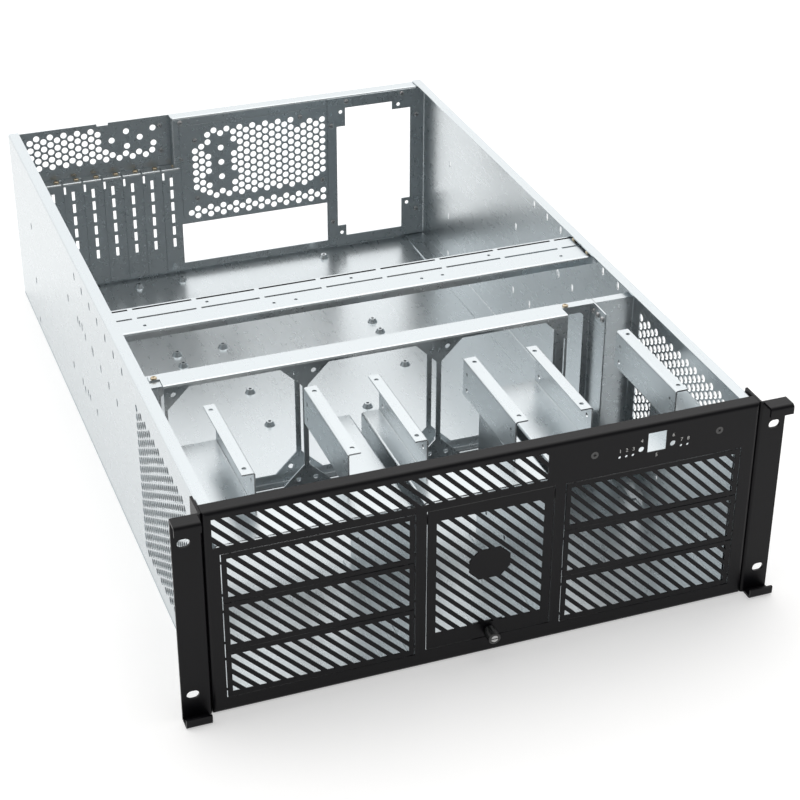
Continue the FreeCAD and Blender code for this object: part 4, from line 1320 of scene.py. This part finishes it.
@dataclass
class Studio:
    """Pale floor, soft light and camera.

    Attributes:
        eye: the camera's place, in metres.
        yaw: turn of the view to the right, in degrees.
        pitch: how far the view looks down, in degrees.
        roll: turn of the view, in degrees.
        floor_glow: the floor's own light for bounced rays, and for what looks straight at it.
        sky_facing: span of the direction's y over which the surround gets brighter.
        sky_light: its strength at the front and at the back.
        sky_height: span of the direction's z over which that takes the place of white.
    """

    eye: Point3 = (-0.4800, -1.44065, 0.9216)
    yaw: float = 20.509
    pitch: float = 30.468
    roll: float = 0.195
    lens: float = 87.32
    sensor: float = 36.0
    clip: Point2 = (0.05, 50.0)
    floor_reach: float = 14.0
    floor_grey: float = 0.7
    floor_rough: float = 0.9
    floor_glow: Point2 = (0.26, 0.42)
    sky: Point3 = (1.0, 0.998, 0.995)
    sky_facing: Point2 = (-0.7, 0.45)
    sky_light: Point2 = (0.24, 1.32)
    sky_height: Point2 = (0.05, 0.22)
    lamps: tuple[Lamp, ...] = (Lamp("key", (-1.6, 0.9, 2.4), 1.8, 9.0),
                               Lamp("top", (0.7, 0.6, 2.6), 2.2, 16.0))
    lamp_colour: Point3 = (1.0, 0.97, 0.93)
    target: Point3 = (0.0, 0.0, 0.1)

    def build(self) -> None:
        """Build the stage."""
        self.add_floor()
        self.add_world()
        for lamp in self.lamps:
            self.add_lamp(lamp)
        self.add_camera()
        bpy.context.scene.view_settings.view_transform = "Standard"
        log.info("studio ready")

    def add_camera(self) -> None:
        """Place the camera."""
        data = bpy.data.cameras.new("camera")
        data.lens = self.lens
        data.sensor_width = self.sensor
        data.clip_start, data.clip_end = self.clip
        camera = bpy.data.objects.new("camera", data)
        bpy.context.scene.collection.objects.link(camera)
        yaw, pitch, roll = (math.radians(angle) for angle in (self.yaw, self.pitch, self.roll))
        ahead = Vector((math.sin(yaw) * math.cos(pitch), math.cos(yaw) * math.cos(pitch),
                        -math.sin(pitch)))
        level = Vector((math.cos(yaw), -math.sin(yaw), 0))
        above = level.cross(ahead)
        right = level * math.cos(roll) + above * math.sin(roll)
        up = above * math.cos(roll) - level * math.sin(roll)
        turn = Matrix((right, up, -ahead)).transposed().to_4x4()
        camera.matrix_world = Matrix.Translation(self.eye) @ turn
        bpy.context.scene.camera = camera

    def add_floor(self) -> None:
        """Lay a wide pale floor that looks white and keeps a soft shadow."""
        graph = SurfaceGraph("pale_floor")
        graph.dress({"Base Color": (*[self.floor_grey] * 3, 1), "Roughness": self.floor_rough})
        rays = graph.node("ShaderNodeLightPath").outputs
        straight = graph.math("MAXIMUM", rays["Is Camera Ray"], rays["Is Glossy Ray"])
        straight = graph.math("MAXIMUM", straight, rays["Is Transmission Ray"])
        glow = graph.node("ShaderNodeEmission",
                          {"Strength": graph.spread(straight, self.floor_glow)})
        both = graph.node("ShaderNodeAddShader", {0: graph.surface.outputs["BSDF"],
                                                  1: glow.outputs["Emission"]})
        graph.feed(graph.tree.nodes["Material Output"].inputs["Surface"], both.outputs["Shader"])
        reach = self.floor_reach
        mesh = bpy.data.meshes.new("floor")
        corners = [(u, v, 0.0) for u, v in box_loop(-reach, -reach, reach, reach)]
        mesh.from_pydata(corners, [], [(0, 1, 2, 3)])
        mesh.materials.append(graph.material)
        floor = bpy.data.objects.new("floor", mesh)
        bpy.context.scene.collection.objects.link(floor)

    def add_world(self) -> None:
        """Make a white surround that is darker high up towards the front."""
        world = bpy.data.worlds.new("surround")
        bpy.context.scene.world = world
        world.use_nodes = True
        graph = NodeGraph(world.node_tree)
        graph.tree.nodes.clear()
        direction = graph.node("ShaderNodeTexCoord").outputs["Generated"]
        axes = graph.node("ShaderNodeSeparateXYZ", {"Vector": direction}).outputs
        light = graph.spread(axes["Y"], self.sky_light, self.sky_facing, "SMOOTHSTEP")
        height = graph.spread(axes["Z"], (0.0, 1.0), self.sky_height, "SMOOTHSTEP")
        strength = graph.node("ShaderNodeMix", {"Factor": height, "A": 1.0, "B": light})
        sky = graph.node("ShaderNodeBackground", {"Color": (*self.sky, 1),
                                                  "Strength": strength.outputs["Result"]})
        graph.node("ShaderNodeOutputWorld", {"Surface": sky.outputs["Background"]})

    def add_lamp(self, lamp: Lamp) -> None:
        """Hang a lamp."""
        data = bpy.data.lights.new(lamp.name, "AREA")
        data.shape = "SQUARE"
        data.size = lamp.size
        data.energy = lamp.power
        data.color = self.lamp_colour
        light = bpy.data.objects.new(lamp.name, data)
        light.location = lamp.place
        light.rotation_mode = "QUATERNION"
        away = Vector(lamp.place) - Vector(self.target)
        light.rotation_quaternion = away.to_track_quat("Z", "Y")
        bpy.context.scene.collection.objects.link(light)


def main() -> None:
    """Build the looks in order."""
    logging.basicConfig(level=logging.INFO, format="%(name)s: %(message)s")
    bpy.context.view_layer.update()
    shop = Workshop()
    for assembly in (CarriedNodes(), SideWalls(), FanScreen(), RearBracket(), RearPanel(),
                     CrossBrace(), Fasteners(), Thumbscrew(), FrontMarks()):
        assembly.build(shop)
    Studio().build()


if __name__ == "__main__":
    main()
